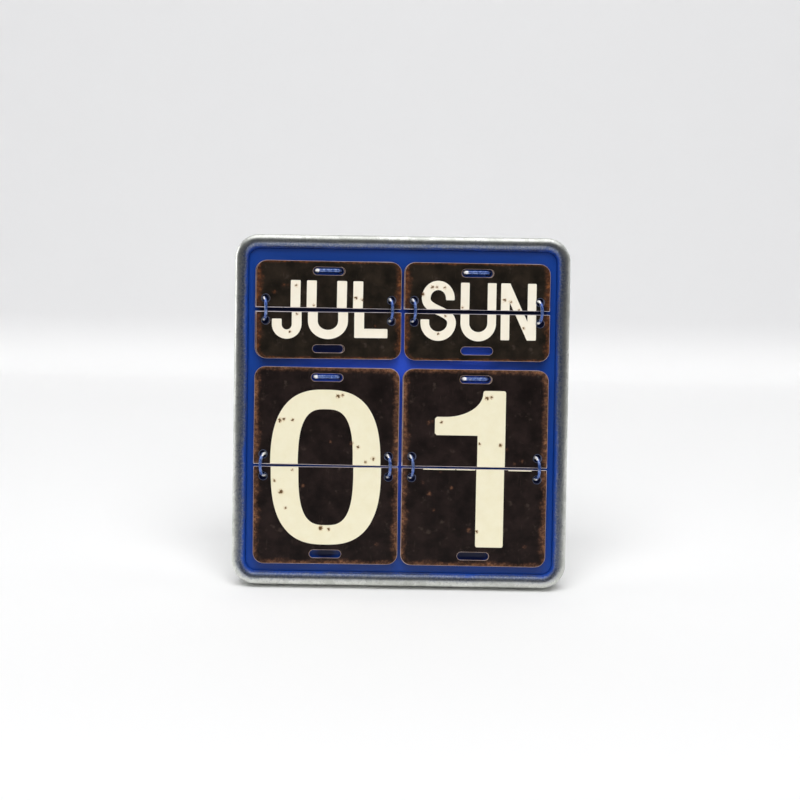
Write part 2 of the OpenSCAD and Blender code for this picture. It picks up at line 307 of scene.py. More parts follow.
def grid(
    rows: int, columns: int, first: int = 0, round_rows: bool = False, round_columns: bool = True
) -> np.ndarray:
    """The quads over a grid of points whose number is first + row*columns + column.

    Args:
        rows: how many rows of points.
        columns: how many points in a row.
        first: the number of the first point.
        round_rows: whether the last row joins the first one.
        round_columns: whether each row's last point joins its first.

    Returns:
        An (n, 4) array of point numbers.
    """
    i, j = np.meshgrid(
        np.arange(rows - (not round_rows)), np.arange(columns - (not round_columns)), indexing="ij"
    )
    i2, j2 = (i + 1) % rows, (j + 1) % columns
    corners = [i * columns + j, i * columns + j2, i2 * columns + j2, i2 * columns + j]
    return first + np.stack(corners, 2).reshape(-1, 4)


# ---- meshes ----


@dataclass
class Shape:
    """A mesh in the making, in millimetres of the face: points, and groups of faces with their finish."""

    points: list[np.ndarray] = field(default_factory=list)
    prints: list[np.ndarray] = field(default_factory=list)
    groups: list[tuple[np.ndarray, int, bool, float]] = field(default_factory=list)
    count: int = 0

    def add_points(self, points: np.ndarray, prints: np.ndarray | None = None) -> int:
        """Adds points to the mesh.

        Args:
            points: an (n, 3) array.
            prints: their places on the print, where they have them.

        Returns:
            The first one's number.
        """
        first = self.count
        self.points.append(points)
        self.prints.append(np.zeros((len(points), 2)) if prints is None else prints)
        self.count += len(points)
        return first

    def add_faces(
        self, faces: np.ndarray, finish: int = 0, smooth: bool = True, print_way: float = 1.0
    ) -> None:
        """Adds faces with the number of their finish; print_way is -1 where the print is upside down."""
        if len(faces):
            self.groups.append((np.asarray(faces), finish, smooth, print_way))

    def add_grid(self, points: np.ndarray, round_rows: bool = False, round_columns: bool = True) -> None:
        """Adds a grid of points and the quads over it.

        Args:
            points: a (rows, columns, 3) array.
            round_rows: whether the last row joins the first one.
            round_columns: whether each row's last point joins its first.
        """
        rows, columns = points.shape[:2]
        first = self.add_points(points.reshape(-1, 3))
        self.add_faces(grid(rows, columns, first, round_rows, round_columns))

    def piece(
        self,
        name: str,
        finishes: list[Material],
        body: str,
        nodes: list[str],
        slot: str,
        printed: bool = False,
    ) -> bpy.types.Object:
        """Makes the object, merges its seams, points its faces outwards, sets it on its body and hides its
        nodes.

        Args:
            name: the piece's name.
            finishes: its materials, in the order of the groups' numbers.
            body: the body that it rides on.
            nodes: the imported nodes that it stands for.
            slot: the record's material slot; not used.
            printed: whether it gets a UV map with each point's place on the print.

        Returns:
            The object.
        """
        mesh = bpy.data.meshes.new(name)
        faces = [face for group in self.groups for face in group[0].tolist()]
        mesh.from_pydata(FACE.to_row(np.concatenate(self.points)).tolist(), [], faces)
        sizes = [len(group[0]) for group in self.groups]
        mesh.polygons.foreach_set("material_index", np.repeat([g[1] for g in self.groups], sizes))
        mesh.polygons.foreach_set("use_smooth", np.repeat([g[2] for g in self.groups], sizes))
        if printed:
            self.map_print(mesh, sizes)
        for finish in finishes:
            mesh.materials.append(finish)
        shell = bmesh.new()
        shell.from_mesh(mesh)
        bmesh.ops.remove_doubles(shell, verts=shell.verts, dist=1e-7)
        bmesh.ops.dissolve_degenerate(shell, edges=shell.edges, dist=1e-8)
        bmesh.ops.recalc_face_normals(shell, faces=shell.faces)
        shell.to_mesh(mesh)
        shell.free()
        if not printed:
            mesh.set_sharp_from_angle(angle=math.radians(40))
        piece = bpy.data.objects.new(name, mesh)
        bpy.context.scene.collection.objects.link(piece)
        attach(piece, body)
        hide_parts(*nodes)
        LOG.info("%s: %d faces, rides on %s", name, len(mesh.polygons), body)
        return piece

    def map_print(self, mesh: bpy.types.Mesh, sizes: list[int]) -> None:
        """Writes each face corner's place on the print, with its height turned over where the print is.

        Args:
            mesh: the mesh.
            sizes: how many faces each group has.
        """
        owner = np.zeros(len(mesh.loops), int)
        mesh.loops.foreach_get("vertex_index", owner)
        corners = np.array([polygon.loop_total for polygon in mesh.polygons])
        ways = np.repeat(np.repeat([g[3] for g in self.groups], sizes), corners)
        places = np.concatenate(self.prints)[owner] * np.stack([np.ones(len(ways)), ways], 1)
        layer = mesh.uv_layers.new(name="print")
        layer.uv.foreach_set("vector", (places * PRINT_SCALE + 0.5).astype(np.float32).ravel())


def fill(
    shape: Shape,
    rings: list[np.ndarray],
    firsts: list[int],
    put: Callable[[np.ndarray], np.ndarray],
    inked: list[Stroke],
    way: float,
    finishes: tuple[int, int],
) -> None:
    """Closes a flat face between an outer ring and its holes, and gives ink to what lies in a stroke.

    The rings and strokes are drawn into one Delaunay net, so that every outline is kept. A triangle stays
    where the outer ring winds round its middle and no hole does, and it is inked where a stroke does.

    Args:
        shape: the mesh in the making.
        rings: the outer ring and the holes' rings, as flat points already in the shape.
        firsts: the number of each ring's first point in the shape.
        put: turns flat points to face points.
        inked: the strokes of the print, none for a plain face.
        way: -1 where the print is upside down.
        finishes: the finish numbers of the ground and of the ink.
    """
    strokes = [loop for stroke in inked for loop in stroke]
    loops = rings + strokes
    sizes = [len(loop) for loop in loops]
    starts = np.cumsum([0] + sizes[:-1])
    flat = np.concatenate(loops)
    sides = [np.stack([np.arange(n), (np.arange(n) + 1) % n], 1) for n in sizes]
    edges = np.concatenate([start + side for start, side in zip(starts, sides)])
    verts, _, faces, origins, _, _ = delaunay_2d_cdt([Vector(p) for p in flat], edges.tolist(), [], 0, 1e-4)
    found = np.array([list(v) for v in verts])
    triangles = np.array(faces)
    known = np.concatenate([first + np.arange(len(ring)) for first, ring in zip(firsts, rings)])
    numbers = np.full(len(found), -1)
    for number, origin in enumerate(origins):
        on_ring = [o for o in origin if o < len(known)]
        numbers[number] = known[on_ring[0]] if on_ring else -1
    fresh = np.flatnonzero(numbers < 0)
    numbers[fresh] = shape.add_points(put(found[fresh]), found[fresh]) + np.arange(len(fresh))
    middles = found[triangles].mean(1)
    kept = windings(middles, rings[0]) != 0
    for hole in rings[1:]:
        kept &= windings(middles, hole) == 0
    ink = np.zeros(len(triangles), bool)
    for stroke in inked:
        ink |= sum(windings(middles, loop) for loop in stroke) != 0
    for wanted, finish in ((kept & ~ink, finishes[0]), (kept & ink, finishes[1])):
        shape.add_faces(numbers[triangles[wanted]], finish, False, way)


def sheet_part(
    shape: Shape,
    outer: Outline,
    holes: list[Outline],
    plane: Placement,
    thick: float,
    edge: float,
    front: Sequence[Stroke] = (),
    back: Sequence[Stroke] = (),
    finishes: tuple[int, int, int] = (0, 0, 0),
    bare: float = 0.0,
) -> None:
    """Adds a flat sheet with rounded edges, holes and a print on each side.

    Its rim is a grid: along the outline, and over the edge by the angle t, where the outline is inset by
    edge*(1-sin t) at the depth edge*(1-cos t) from the nearer side. A bare margin, where there is one, takes
    the rim further in over the flat. Both flat sides are filled nets.

    Args:
        shape: the mesh in the making.
        outer: the sheet's outline.
        holes: the outlines of its holes.
        plane: where it lies, with its front at w = 0 and its back at w = thick.
        thick: its thickness.
        edge: radius of its rounded edges.
        front: strokes printed on the front.
        back: strokes printed on the back.
        finishes: the finish numbers of the ground, of the ink and of the cut edge.
        bare: width of the margin that the print leaves bare.
    """
    t = np.linspace(0, math.pi / 2, 4)
    insets = np.r_[edge * (1 - np.sin(t)), edge * (1 - np.sin(t[::-1]))]
    depths = np.r_[edge * (1 - np.cos(t)), thick - edge * (1 - np.cos(t[::-1]))]
    if bare:
        insets, depths = np.r_[edge + bare, insets, edge + bare], np.r_[0.0, depths, thick]
    tops, bottoms, first_tops, first_bottoms = [], [], [], []
    for outline, way in [(outer, 1)] + [(hole, -1) for hole in holes]:
        rings = [outline.ring(way * inset) for inset in insets]
        n = len(rings[0])
        placed = np.concatenate([plane.place(ring, depth) for ring, depth in zip(rings, depths)])
        first = shape.add_points(placed, np.concatenate(rings))
        shape.add_faces(grid(len(rings), n, first), finishes[2])
        tops.append(rings[0])
        bottoms.append(rings[-1])
        first_tops.append(first)
        first_bottoms.append(first + (len(rings) - 1) * n)
    fill(shape, tops, first_tops, lambda flat: plane.place(flat, 0.0), list(front), 1.0, finishes[:2])
    fill(shape, bottoms, first_bottoms, lambda flat: plane.place(flat, thick), list(back), -1.0, finishes[:2])


def turned(shape: Shape, plane: Placement, profile: np.ndarray, sides: int = 32) -> None:
    """Adds a turned part: its profile (radius, place along w) goes round w, as radius*(u*cos t + v*sin t).

    Args:
        shape: the mesh in the making.
        plane: the part's origin and axis.
        profile: an (n, 2) array that starts and ends on the axis.
        sides: how many spans the turn has.
    """
    t = np.linspace(0, 2 * math.pi, sides, endpoint=False)
    circle = np.stack([np.cos(t), np.sin(t)], 1)
    rows = [plane.place(radius * circle, along) for radius, along in profile]
    shape.add_grid(np.stack(rows))


def wire(shape: Shape, path: np.ndarray, radius: float, normal: np.ndarray, sides: int = 20) -> None:
    """Adds a round wire along a flat path: path + radius*(side*cos t + normal*sin t), with side across both.

    Its cut ends are domed by three rings that shrink to a point.

    Args:
        shape: the mesh in the making.
        path: an (n, 3) array in one plane.
        radius: the wire's radius.
        normal: the unit normal of the path's plane.
        sides: how many spans the wire has round it.
    """
    ahead = unit(np.gradient(path, axis=0))
    dome = np.array([[1.0, 0.0], [0.94, 0.3], [0.75, 0.5], [0.0, 0.6]])
    first = [path[:1] - ahead[:1] * radius * out for _, out in dome[:0:-1]]
    last = [path[-1:] + ahead[-1:] * radius * out for _, out in dome[1:]]
    spine = np.concatenate(first + [path] + last)
    heading = np.concatenate([ahead[:1]] * 3 + [ahead] + [ahead[-1:]] * 3)
    radii = radius * np.concatenate([dome[:0:-1, 0], np.ones(len(path)), dome[1:, 0]])
    side = np.cross(heading, normal)
    t = np.linspace(0, 2 * math.pi, sides, endpoint=False)
    around = side[:, None] * np.cos(t)[:, None] + normal * np.sin(t)[:, None]
    shape.add_grid(spine[:, None] + radii[:, None, None] * around)


# ---- finishes ----


def linear(shade: str) -> tuple[float, float, float, float]:
    """Turns an sRGB hex value to linear: c/12.92 up to 0.04045, and ((c+0.055)/1.055)^2.4 above."""
    channels = [int(shade[i : i + 2], 16) / 255 for i in (1, 3, 5)]
    return (*(c / 12.92 if c <= 0.04045 else ((c + 0.055) / 1.055) ** 2.4 for c in channels), 1.0)


def add(
    tree: bpy.types.NodeTree, kind: str, *inputs: Value, out: str | None = None, **named: Value
) -> Socket | None:
    """Adds a shader node with its settings and links.

    Args:
        tree: the node tree.
        kind: the node's type, without "ShaderNode", and after a space its operation where it has one.
        inputs: a socket, a number or a shade in hex for each input in use, in order.
        out: the name of the wanted output, else the first one in use.
        named: the node's own settings, and inputs by name.

    Returns:
        The output socket, or None for a node that has none.
    """
    kind, *operation = kind.split()
    node, named = tree.nodes.new("ShaderNode" + kind), USUAL.get(kind, {}) | named
    if operation:
        node.operation = operation[0]
    for setting in [name for name in named if name not in node.inputs]:
        setattr(node, setting, named.pop(setting))
    given = list(zip([socket for socket in node.inputs if socket.enabled], inputs))
    for socket, value in given + [(node.inputs[name], value) for name, value in named.items()]:
        if isinstance(value, Socket):
            tree.links.new(value, socket)
        else:
            socket.default_value = linear(value) if isinstance(value, str) else value
    return node.outputs[out] if out else next((socket for socket in node.outputs if socket.enabled), None)


def dressed(name: str, look: Callable[[Nodes], Look]) -> Material:
    """Makes a material that is one Principled shader.

    Args:
        name: the material's name.
        look: works out the shader's inputs, with the function that adds a node to the material.

    Returns:
        The material.
    """
    made = bpy.data.materials.new(name)
    made.use_nodes = True
    made.node_tree.nodes.clear()
    node = partial(add, made.node_tree)
    node("OutputMaterial", node("BsdfPrincipled", **look(node)))
    return made


def face_place(node: Nodes) -> Socket:
    """Finds the shaded point in millimetres of the face: metres times 1000, turned back by the lean.

    Args:
        node: adds a node to the material.

    Returns:
        The point.
    """
    cos, sin = math.cos(FACE.lean), math.sin(FACE.lean)
    back = (0.0, FACE.shift_z * sin - FACE.shift_y * cos, -FACE.shift_y * sin - FACE.shift_z * cos)
    return node("Mapping", node("TexCoord", out="Object"), back, (FACE.lean, 0, 0), (1 / MM,) * 3)


def from_outside(node: Nodes, place: Socket) -> Socket:
    """Finds how far a point lies inside the case's outline on the face, in millimetres.

    With q the distance beyond the corner centres, sideways and upwards, and r the corner radius, it is
    r - length(max(q, 0)) - min(max(q_x, q_z), 0).

    Args:
        node: adds a node to the material.
        place: the point on the face.

    Returns:
        The distance.
    """
    case = Case()
    half = (case.width / 2 - case.corner, 0.0, case.height / 2 - case.corner)
    middle = node("VectorMath SUBTRACT", place, (0, 0, case.height / 2))
    flat = node("VectorMath MULTIPLY", middle, (1, 0, 1))
    side = node("VectorMath ABSOLUTE", flat)
    beyond = node("VectorMath SUBTRACT", side, half)
    outer = node("VectorMath MAXIMUM", beyond, (0, 0, 0))
    round_part = node("VectorMath LENGTH", outer)
    across, up = (node("SeparateXYZ", beyond, out=axis) for axis in "XZ")
    straight = node("Math MINIMUM", node("Math MAXIMUM", across, up), 0.0)
    away = node("Math ADD", round_part, straight)
    return node("Math SUBTRACT", case.corner, away)


def from_hinge(node: Nodes, place: Socket) -> Socket:
    """Finds how far a point lies over or under the nearer row's hinge axis, in millimetres.

    Args:
        node: adds a node to the material.
        place: the point on the face.

    Returns:
        The distance.
    """
    height = node("SeparateXYZ", place, out="Z")
    gaps = [node("Math SUBTRACT", height, row["axis_z"]) for row in (SMALL, LARGE)]
    return node("Math MINIMUM", *(node("Math ABSOLUTE", gap) for gap in gaps))


def from_middle(node: Nodes, place: Socket) -> Socket:
    """Finds how far a point lies left or right of the nearer packs' middle, in millimetres."""
    side = node("Math ABSOLUTE", node("SeparateXYZ", place, out="X"))
    return node("Math ABSOLUTE", node("Math SUBTRACT", side, PACK_X))


def from_loop_hole(node: Nodes, place: Socket) -> Socket:
    """Finds how far a point lies from the middle of the nearest loop hole, in millimetres.

    Args:
        node: adds a node to the material.
        place: the point on the face.

    Returns:
        The distance.
    """
    across = node("Math SUBTRACT", from_middle(node, place), HOLE_X)
    above = node("Math SUBTRACT", from_hinge(node, place), HOLE_Z)
    return node("VectorMath LENGTH", node("CombineXYZ", across, 0.0, above))


@dataclass(frozen=True)
class GalvanisedSteel:
    """Hot-dipped zinc on pressed steel: grey and half dull, with faint crystals and blue overspray inside."""

    name: str = "galvanised_sheet_steel"
    light: str = "#e5e6e1"
    dark: str = "#bfc1bb"
    stain: str = "#75736d"
    veil: str = "#65708f"
    overspray: str = "#214fae"
    crystal_mm: float = 3.0
    cloud_mm: float = 22.0
    ripple_mm: float = 1.3
    fleck_mm: float = 0.9
    relief_mm: float = 0.03
    rough: Pair = (0.28, 0.4)

    def look(self, node: Nodes) -> Look:
        """Crystals shift the zinc's brightness faintly; enamel mist from the panel thickens over the bead.

        The mist's edge wanders with the ripples and clouds, and lies a little further out near the sides.

        Args:
            node: adds a node to the material.

        Returns:
            The shader's inputs.
        """
        place = face_place(node)
        level = node("SeparateColor", node("TexVoronoi", place, 1 / self.crystal_mm, out="Color"))
        cloud = node("TexNoise", place, 1 / self.cloud_mm, 5.0, 0.6)
        ripple = node("TexNoise", place, 1 / self.ripple_mm, 3.0, 0.6)
        fleck = node("TexNoise", place, 1 / self.fleck_mm, 2.0, 0.6)
        shift = node("Math MULTIPLY_ADD", ripple, 0.5, cloud)
        shift = node("Math MULTIPLY_ADD", level, 0.2, shift)
        zinc = node("Mix", node("MapRange", shift, 0.6, 1.1), self.dark, self.light)
        across, depth = (node("SeparateXYZ", place, out=axis) for axis in "XY")
        front = node("MapRange", depth, 9.0, 7.0)
        pits = node("MapRange", ripple, 0.5, 0.72)
        pitted = node("Math MULTIPLY_ADD", front, 0.25, 0.15)
        zinc = node("Mix", node("Math MULTIPLY", pits, pitted), zinc, self.stain)
        inside = node("Math MULTIPLY_ADD", ripple, 2.0, from_outside(node, place))
        inside = node("Math MULTIPLY_ADD", cloud, 4.0, inside)
        aside = node("MapRange", node("Math ABSOLUTE", across), 66.0, 84.0, 0.0, 0.8)
        inside = node("Math ADD", inside, aside)
        flecks = node("MapRange", fleck, 0.42, 0.66, 1.0, 0.7)
        flecks = node("Math MULTIPLY", front, flecks)
        thin = node("Math MULTIPLY", node("MapRange", inside, 4.9, 8.6), flecks)
        thick = node("Math MULTIPLY", node("MapRange", inside, 8.4, 10.6), front)
        misted = node("Mix", thin, zinc, self.veil)
        gloss = node("MapRange", shift, 0.5, 1.2, self.rough[1], self.rough[0])
        metal = node("Math MULTIPLY_ADD", thin, -0.12, 1.0)
        relief = node("Math MULTIPLY_ADD", level, 0.15, ripple)
        return {
            "Base Color": node("Mix", thick, misted, self.overspray),
            "Roughness": node("Math MULTIPLY_ADD", thick, 0.15, gloss),
            "Metallic": node("Math MULTIPLY_ADD", thick, -0.7, metal),
            "Normal": node("Bump", Height=relief, Distance=self.relief_mm * MM),
        }


@dataclass(frozen=True)
class StoveEnamel:
    """Blue enamel sprayed on sheet steel and baked: even, satin, with a slight orange peel.

    Each shade spot is painted shade behind a slot, as x and z on the face, and how much smaller it is than a
    full one.
    """

    name: str = "stove_enamelled_steel"
    middle: str = "#2a4ec6"
    # painted shade: the darker blue along the rim
    rim: str = "#0d3a8a"
    # painted shade: the near-black blue behind gaps, slots and loop holes
    painted_shade: str = "#04072a"
    shade_spots: tuple[Triple, ...] = (
        (-PACK_X, 122.5, 0.0),
        (PACK_X, 16.4, 0.0),
        (-PACK_X, 16.4, 3.0),
    )
    shade_spot_squeeze: float = 0.45
    gap_edge: float = 33.0
    cloud_mm: float = 30.0
    peel_mm: float = 1.4
    relief_mm: float = 0.012

    def look(self, node: Nodes) -> Look:
        """Painted shade: the blue darkens towards the rim and behind gaps, slots and loop holes.

        Args:
            node: adds a node to the material.

        Returns:
            The shader's inputs.
        """
        place = face_place(node)
        cloud = node("TexNoise", place, 1 / self.cloud_mm, 3.0, 0.6)
        peel = node("TexNoise", place, 1 / self.peel_mm, 1.0, 0.6)
        inside = node("Math MULTIPLY_ADD", cloud, 20.0, from_outside(node, place))
        # painted shade: the blue is darker near the rim, which the bead shades
        color = node("Mix", node("MapRange", inside, 18.0, 70.0), self.rim, self.middle)
        # painted shade behind the split gap, under the packs, behind three slots and round the loop holes
        above = node("Math SUBTRACT", node("SeparateXYZ", place, out="Z"), SMALL["axis_z"])
        from_gap = node("Math MULTIPLY", node("Math ABSOLUTE", above), 2.0)
        under = node("Math SUBTRACT", from_middle(node, place), self.gap_edge)
        shade_reach = node("Math MAXIMUM", from_gap, under)
        flat = node("VectorMath MULTIPLY", place, (self.shade_spot_squeeze, 0, 1))
        for x, z, less in self.shade_spots:
            away = node("VectorMath DISTANCE", flat, (self.shade_spot_squeeze * x, 0, z))
            away = node("Math MULTIPLY_ADD", away, 2.0, less - 5.0)
            shade_reach = node("Math MINIMUM", shade_reach, away)
        shade_reach = node("Math MULTIPLY_ADD", cloud, 3.0, shade_reach)
        hole = node("Math MULTIPLY_ADD", from_loop_hole(node, place), 3.3, -5.6)
        shade_reach = node("Math MINIMUM", shade_reach, hole)
        dirt_and_shade = node("MapRange", shade_reach, 7.0, 2.0, 0.0, 0.93)
        return {
            "Base Color": node("Mix", dirt_and_shade, color, self.painted_shade),
            "Roughness": node("MapRange", cloud, 0.3, 0.7, 0.3, 0.4),
            "Specular IOR Level": 0.35,
            "Normal": node("Bump", Height=peel, Distance=self.relief_mm * MM),
        }


@dataclass(frozen=True)
class EnamelledWire:
    """Steel wire under thin blue enamel, with white painted highlights on the flanks of its bends."""

    name: str = "blue_enamelled_wire"
    coat: str = "#4060aa"
    thin: str = "#7e92c2"
    bright: str = "#ffffff"
    drip_mm: float = 2.2
    relief_mm: float = 0.03

    def look(self, node: Nodes) -> Look:
        """The coat is half see-through and streaky; the bends' left flanks get a white painted highlight.

        The left loop of the tens leans the other way, so there the painted highlight is on the right flank.

        Args:
            node: adds a node to the material.

        Returns:
            The shader's inputs.
        """
        place = face_place(node)
        patch = node("TexNoise", place, 1 / self.drip_mm, 3.0, 0.6)
        color = node("Mix", node("MapRange", patch, 0.42, 0.72), self.coat, self.thin)
        bend = node("MapRange", from_hinge(node, place), 4.65, 5.05)
        across, height = (node("SeparateXYZ", place, out=axis) for axis in "XZ")
        at_left = node("Math LESS_THAN", across, -60.0)
        low = node("Math LESS_THAN", height, 100.0)
        mirror = node("Math MULTIPLY", at_left, low)
        mirror = node("Math MULTIPLY_ADD", mirror, -2.0, 1.0)
        facing = node("SeparateXYZ", node("TexCoord", out="Normal"), out="X")
        facing = node("Math MULTIPLY", facing, mirror)
        facing = node("Math MULTIPLY_ADD", patch, 0.4, facing)
        flank = node("MapRange", facing, 0.2, -0.15)
        # painted highlight: white where the bends' flanks face left
        painted_glint = node("Math MULTIPLY", flank, bend)
        return {
            "Base Color": node("Mix", painted_glint, color, self.bright),
            "Roughness": node("MapRange", patch, 0.3, 0.8, 0.22, 0.36),
            "Metallic": node("MapRange", painted_glint, 0.0, 1.0, 0.6, 0.0),
            "Coat Weight": 0.7,
            "Coat Roughness": 0.08,
            "Normal": node("Bump", Height=patch, Distance=self.relief_mm * MM, Strength=0.3),
        }


@dataclass(frozen=True)
class LithographedTin:
    """Tinplate printed and varnished: a worn black-brown ground with rusty borders, and cream lettering.

    The top and bottom edges of the picture rust less than its sides, by the top share.
    """

    name: str
    half_w: float
    half_h: float
    specks: tuple[Triple, ...]
    rust: str
    dull_rust: str
    top_share: float
    black: str = "#110c0b"
    brown: str = "#261c1a"
    scuff: str = "#4b4038"
    cream: str = "#efead2"
    aged: str = "#e5dcba"
    halo: str = "#b98d4e"
    spot: str = "#553c1e"
    gloss: float = 0.14
    cloud_mm: float = 11.0
    grain_mm: float = 1.7
    fleck_mm: float = 2.2
    patch_mm: float = 5.0
    drag_mm: float = 1.1
    yellow_mm: float = 6.0
    rag_mm: float = 0.9
    drift_per_mm: float = 1.1
    drift_mm: float = 0.8

    def print_place(self, node: Nodes) -> Socket:
        """The shaded point's place on the print, in millimetres from the middle of the whole picture."""
        middle = (-0.5 / PRINT_SCALE, -0.5 / PRINT_SCALE, 0)
        return node("Mapping", node("UVMap", uv_map="print"), middle, Scale=(1 / PRINT_SCALE,) * 3)

    def speck_field(self, node: Nodes, place: Socket) -> Socket:
        """Finds how far the point lies outside the nearest printed rust speck, which has a ragged edge.

        The place is shifted by up to the drift each way by coloured noise, so that no speck is round.

        Args:
            node: adds a node to the material.
            place: the point on the print.

        Returns:
            The distance in millimetres, below 0 in a speck.
        """
        rag = node("TexNoise", place, 1 / self.rag_mm, 3.0, 0.6)
        drift = node("TexNoise", place, self.drift_per_mm, 2.0, 0.6, out="Color")
        half_back = node("VectorMath SUBTRACT", place, (self.drift_mm,) * 3)
        spot = node("VectorMath MULTIPLY_ADD", drift, (2 * self.drift_mm, 2 * self.drift_mm, 0.0), half_back)
        spot = node("VectorMath MULTIPLY", spot, (1, 1, 0))
        nearest = node("Math MULTIPLY_ADD", rag, 1.6, 8.0)
        for x, z, size in self.specks:
            away = node("VectorMath DISTANCE", spot, (x, z, 0))
            away = node("Math SUBTRACT", away, size)
            nearest = node("Math MINIMUM", away, nearest)
        ragged = node("Math MULTIPLY_ADD", rag, -2.0, 0.85)
        return node("Math ADD", nearest, ragged)

    def from_edge(self, node: Nodes, place: Socket) -> Socket:
        """Finds how far the point lies inside the picture's edge; the top and bottom may count for less.

        Args:
            node: adds a node to the material.
            place: the point on the print.

        Returns:
            The distance, in millimetres from the sides.
        """
        across, up = (node("SeparateXYZ", place, out=axis) for axis in "XY")
        side = node("Math SUBTRACT", self.half_w, node("Math ABSOLUTE", across))
        top = node("Math SUBTRACT", self.half_h, node("Math ABSOLUTE", up))
        top = node("Math MULTIPLY", top, 1 / self.top_share)
        return node("Math SMOOTH_MIN", side, top, 2.5)

    def ground_look(self, node: Nodes) -> Look:
        """The printed ground: cloudy black-brown, eaten by rust along its outer edges, with faint scuffs.

        Args:
            node: adds a node to the material.

        Returns:
            The shader's inputs.
        """
        place = self.print_place(node)
        cloud = node("TexNoise", place, 1 / self.cloud_mm, 6.0, 0.65)
        grain = node("TexNoise", place, 1 / self.grain_mm, 5.0, 0.72)
        fleck = node("TexNoise", place, 1 / self.fleck_mm, 5.0, 0.68)
        patch = node("TexNoise", place, 1 / self.patch_mm, 3.0, 0.55)
        drag = node("TexNoise", node("Mapping", place, Scale=(1.0, 0.1, 1.0)), 1 / self.drag_mm, 3.0, 0.6)
        eaten = node("Math ADD", self.from_edge(node, place), 4.5)
        eaten = node("Math MULTIPLY_ADD", cloud, -9.0, eaten)
        eaten = node("Math ADD", eaten, 1.75)
        eaten = node("Math MULTIPLY_ADD", grain, -3.5, eaten)
        border = node("MapRange", eaten, 4.0, -0.6, 0.0, 0.95)
        speck = node("MapRange", self.speck_field(node, place), 0.6, -0.6, 0.0, 0.45)
        tint = node("Mix", node("MapRange", cloud, 0.3, 0.75), self.black, self.brown)
        worn = node("MapRange", grain, 0.6, 0.8, 0.0, 0.4)
        worn = node("Math MAXIMUM", worn, node("MapRange", drag, 0.62, 0.8, 0.0, 0.35))
        patch = node("MapRange", patch, 0.6, 0.75, 0.0, 0.45)
        tint = node("Mix", node("Math MAXIMUM", worn, patch), tint, self.scuff)
        rusty = node("MapRange", fleck, 0.42, 0.68)
        rusty = node("Mix", rusty, self.dull_rust, self.rust)
        share = node("Math MAXIMUM", speck, border)
        return {
            "Base Color": node("Mix", share, tint, rusty),
            "Roughness": node("MapRange", cloud, 0.3, 0.7, 0.36, 0.5),
            "Specular IOR Level": self.gloss,
        }

    def ink_look(self, node: Nodes) -> Look:
        """The cream lettering: slightly yellowed in clouds, with printed rust specks that have pale halos.

        Args:
            node: adds a node to the material.

        Returns:
            The shader's inputs.
        """
        place = self.print_place(node)
        away = self.speck_field(node, place)
        paper = node("Mix", node("TexNoise", place, 1 / self.yellow_mm, 5.0, 0.65), self.cream, self.aged)
        haloed = node("MapRange", away, 0.8, -0.2, 0.0, 0.5)
        spotted = node("MapRange", away, 0.12, -0.25, 0.0, 0.95)
        tinted = node("Mix", haloed, paper, self.halo)
        color = node("Mix", spotted, tinted, self.spot)
        return {"Base Color": color, "Roughness": 0.42, "Specular IOR Level": self.gloss}


@dataclass(frozen=True)
class CutTinplate:
    """The sheared and rolled-over edge of tinplate: bare, pale, a little dirty, with painted highlight and
    shade.
    """

    name: str = "sheared_tinplate"
    bare: str = "#d2c9cf"
    dirt_and_shade: str = "#a08a80"
    shaded: str = "#59617a"
    cloud_mm: float = 5.0

    def look(self, node: Nodes) -> Look:
        """Paler at the split, from rubbing and painted highlight; dirty outer edges; painted shade round loop
        holes.

        Args:
            node: adds a node to the material.

        Returns:
            The shader's inputs.
        """
        place = face_place(node)
        # painted highlight, with real rubbing: the cut edge is paler near the hinge axis
        worn = node("MapRange", from_hinge(node, place), 3.0, 1.8)
        cloud = node("TexNoise", place, 1 / self.cloud_mm, 4.0, 0.6)
        worn = node("Math ADD", worn, node("MapRange", cloud, 0.4, 0.7, 0.0, 0.35))
        # painted shade round the loop holes
        at_hole = node("MapRange", from_loop_hole(node, place), 2.9, 2.4)
        color = node("Mix", worn, self.dirt_and_shade, self.bare)
        color = node("Mix", at_hole, color, self.shaded)
        return {"Base Color": color, "Metallic": 0.35, "Roughness": 0.4}


@dataclass(frozen=True)
class ZincPlate:
    """Pressed steel with electroplated zinc: greyer and more even than dipped zinc, with rolling lines."""

    name: str = "zinc_plated_steel"
    light: str = "#b2b5b6"
    dark: str = "#96999a"
    line_mm: float = 0.7
    cloud_mm: float = 14.0
    relief_mm: float = 0.01

    def look(self, node: Nodes) -> Look:
        """Fine lines along the rolling direction x, drawn coarser than real ones so that they show.

        Args:
            node: adds a node to the material.

        Returns:
            The shader's inputs.
        """
        place = face_place(node)
        cloud = node("TexNoise", place, 1 / self.cloud_mm, 4.0, 0.6)
        drawn = node("Mapping", place, Scale=(0.04, 1.0, 1.0))
        lines = node("TexNoise", drawn, 1 / self.line_mm, 4.0, 0.6)
        return {
            "Base Color": node("Mix", cloud, self.dark, self.light),
            "Metallic": 1.0,
            "Roughness": node("MapRange", lines, 0.3, 0.7, 0.3, 0.46),
            "Normal": node("Bump", Height=lines, Distance=self.relief_mm * MM, Strength=0.5),
        }


# ---- case ----


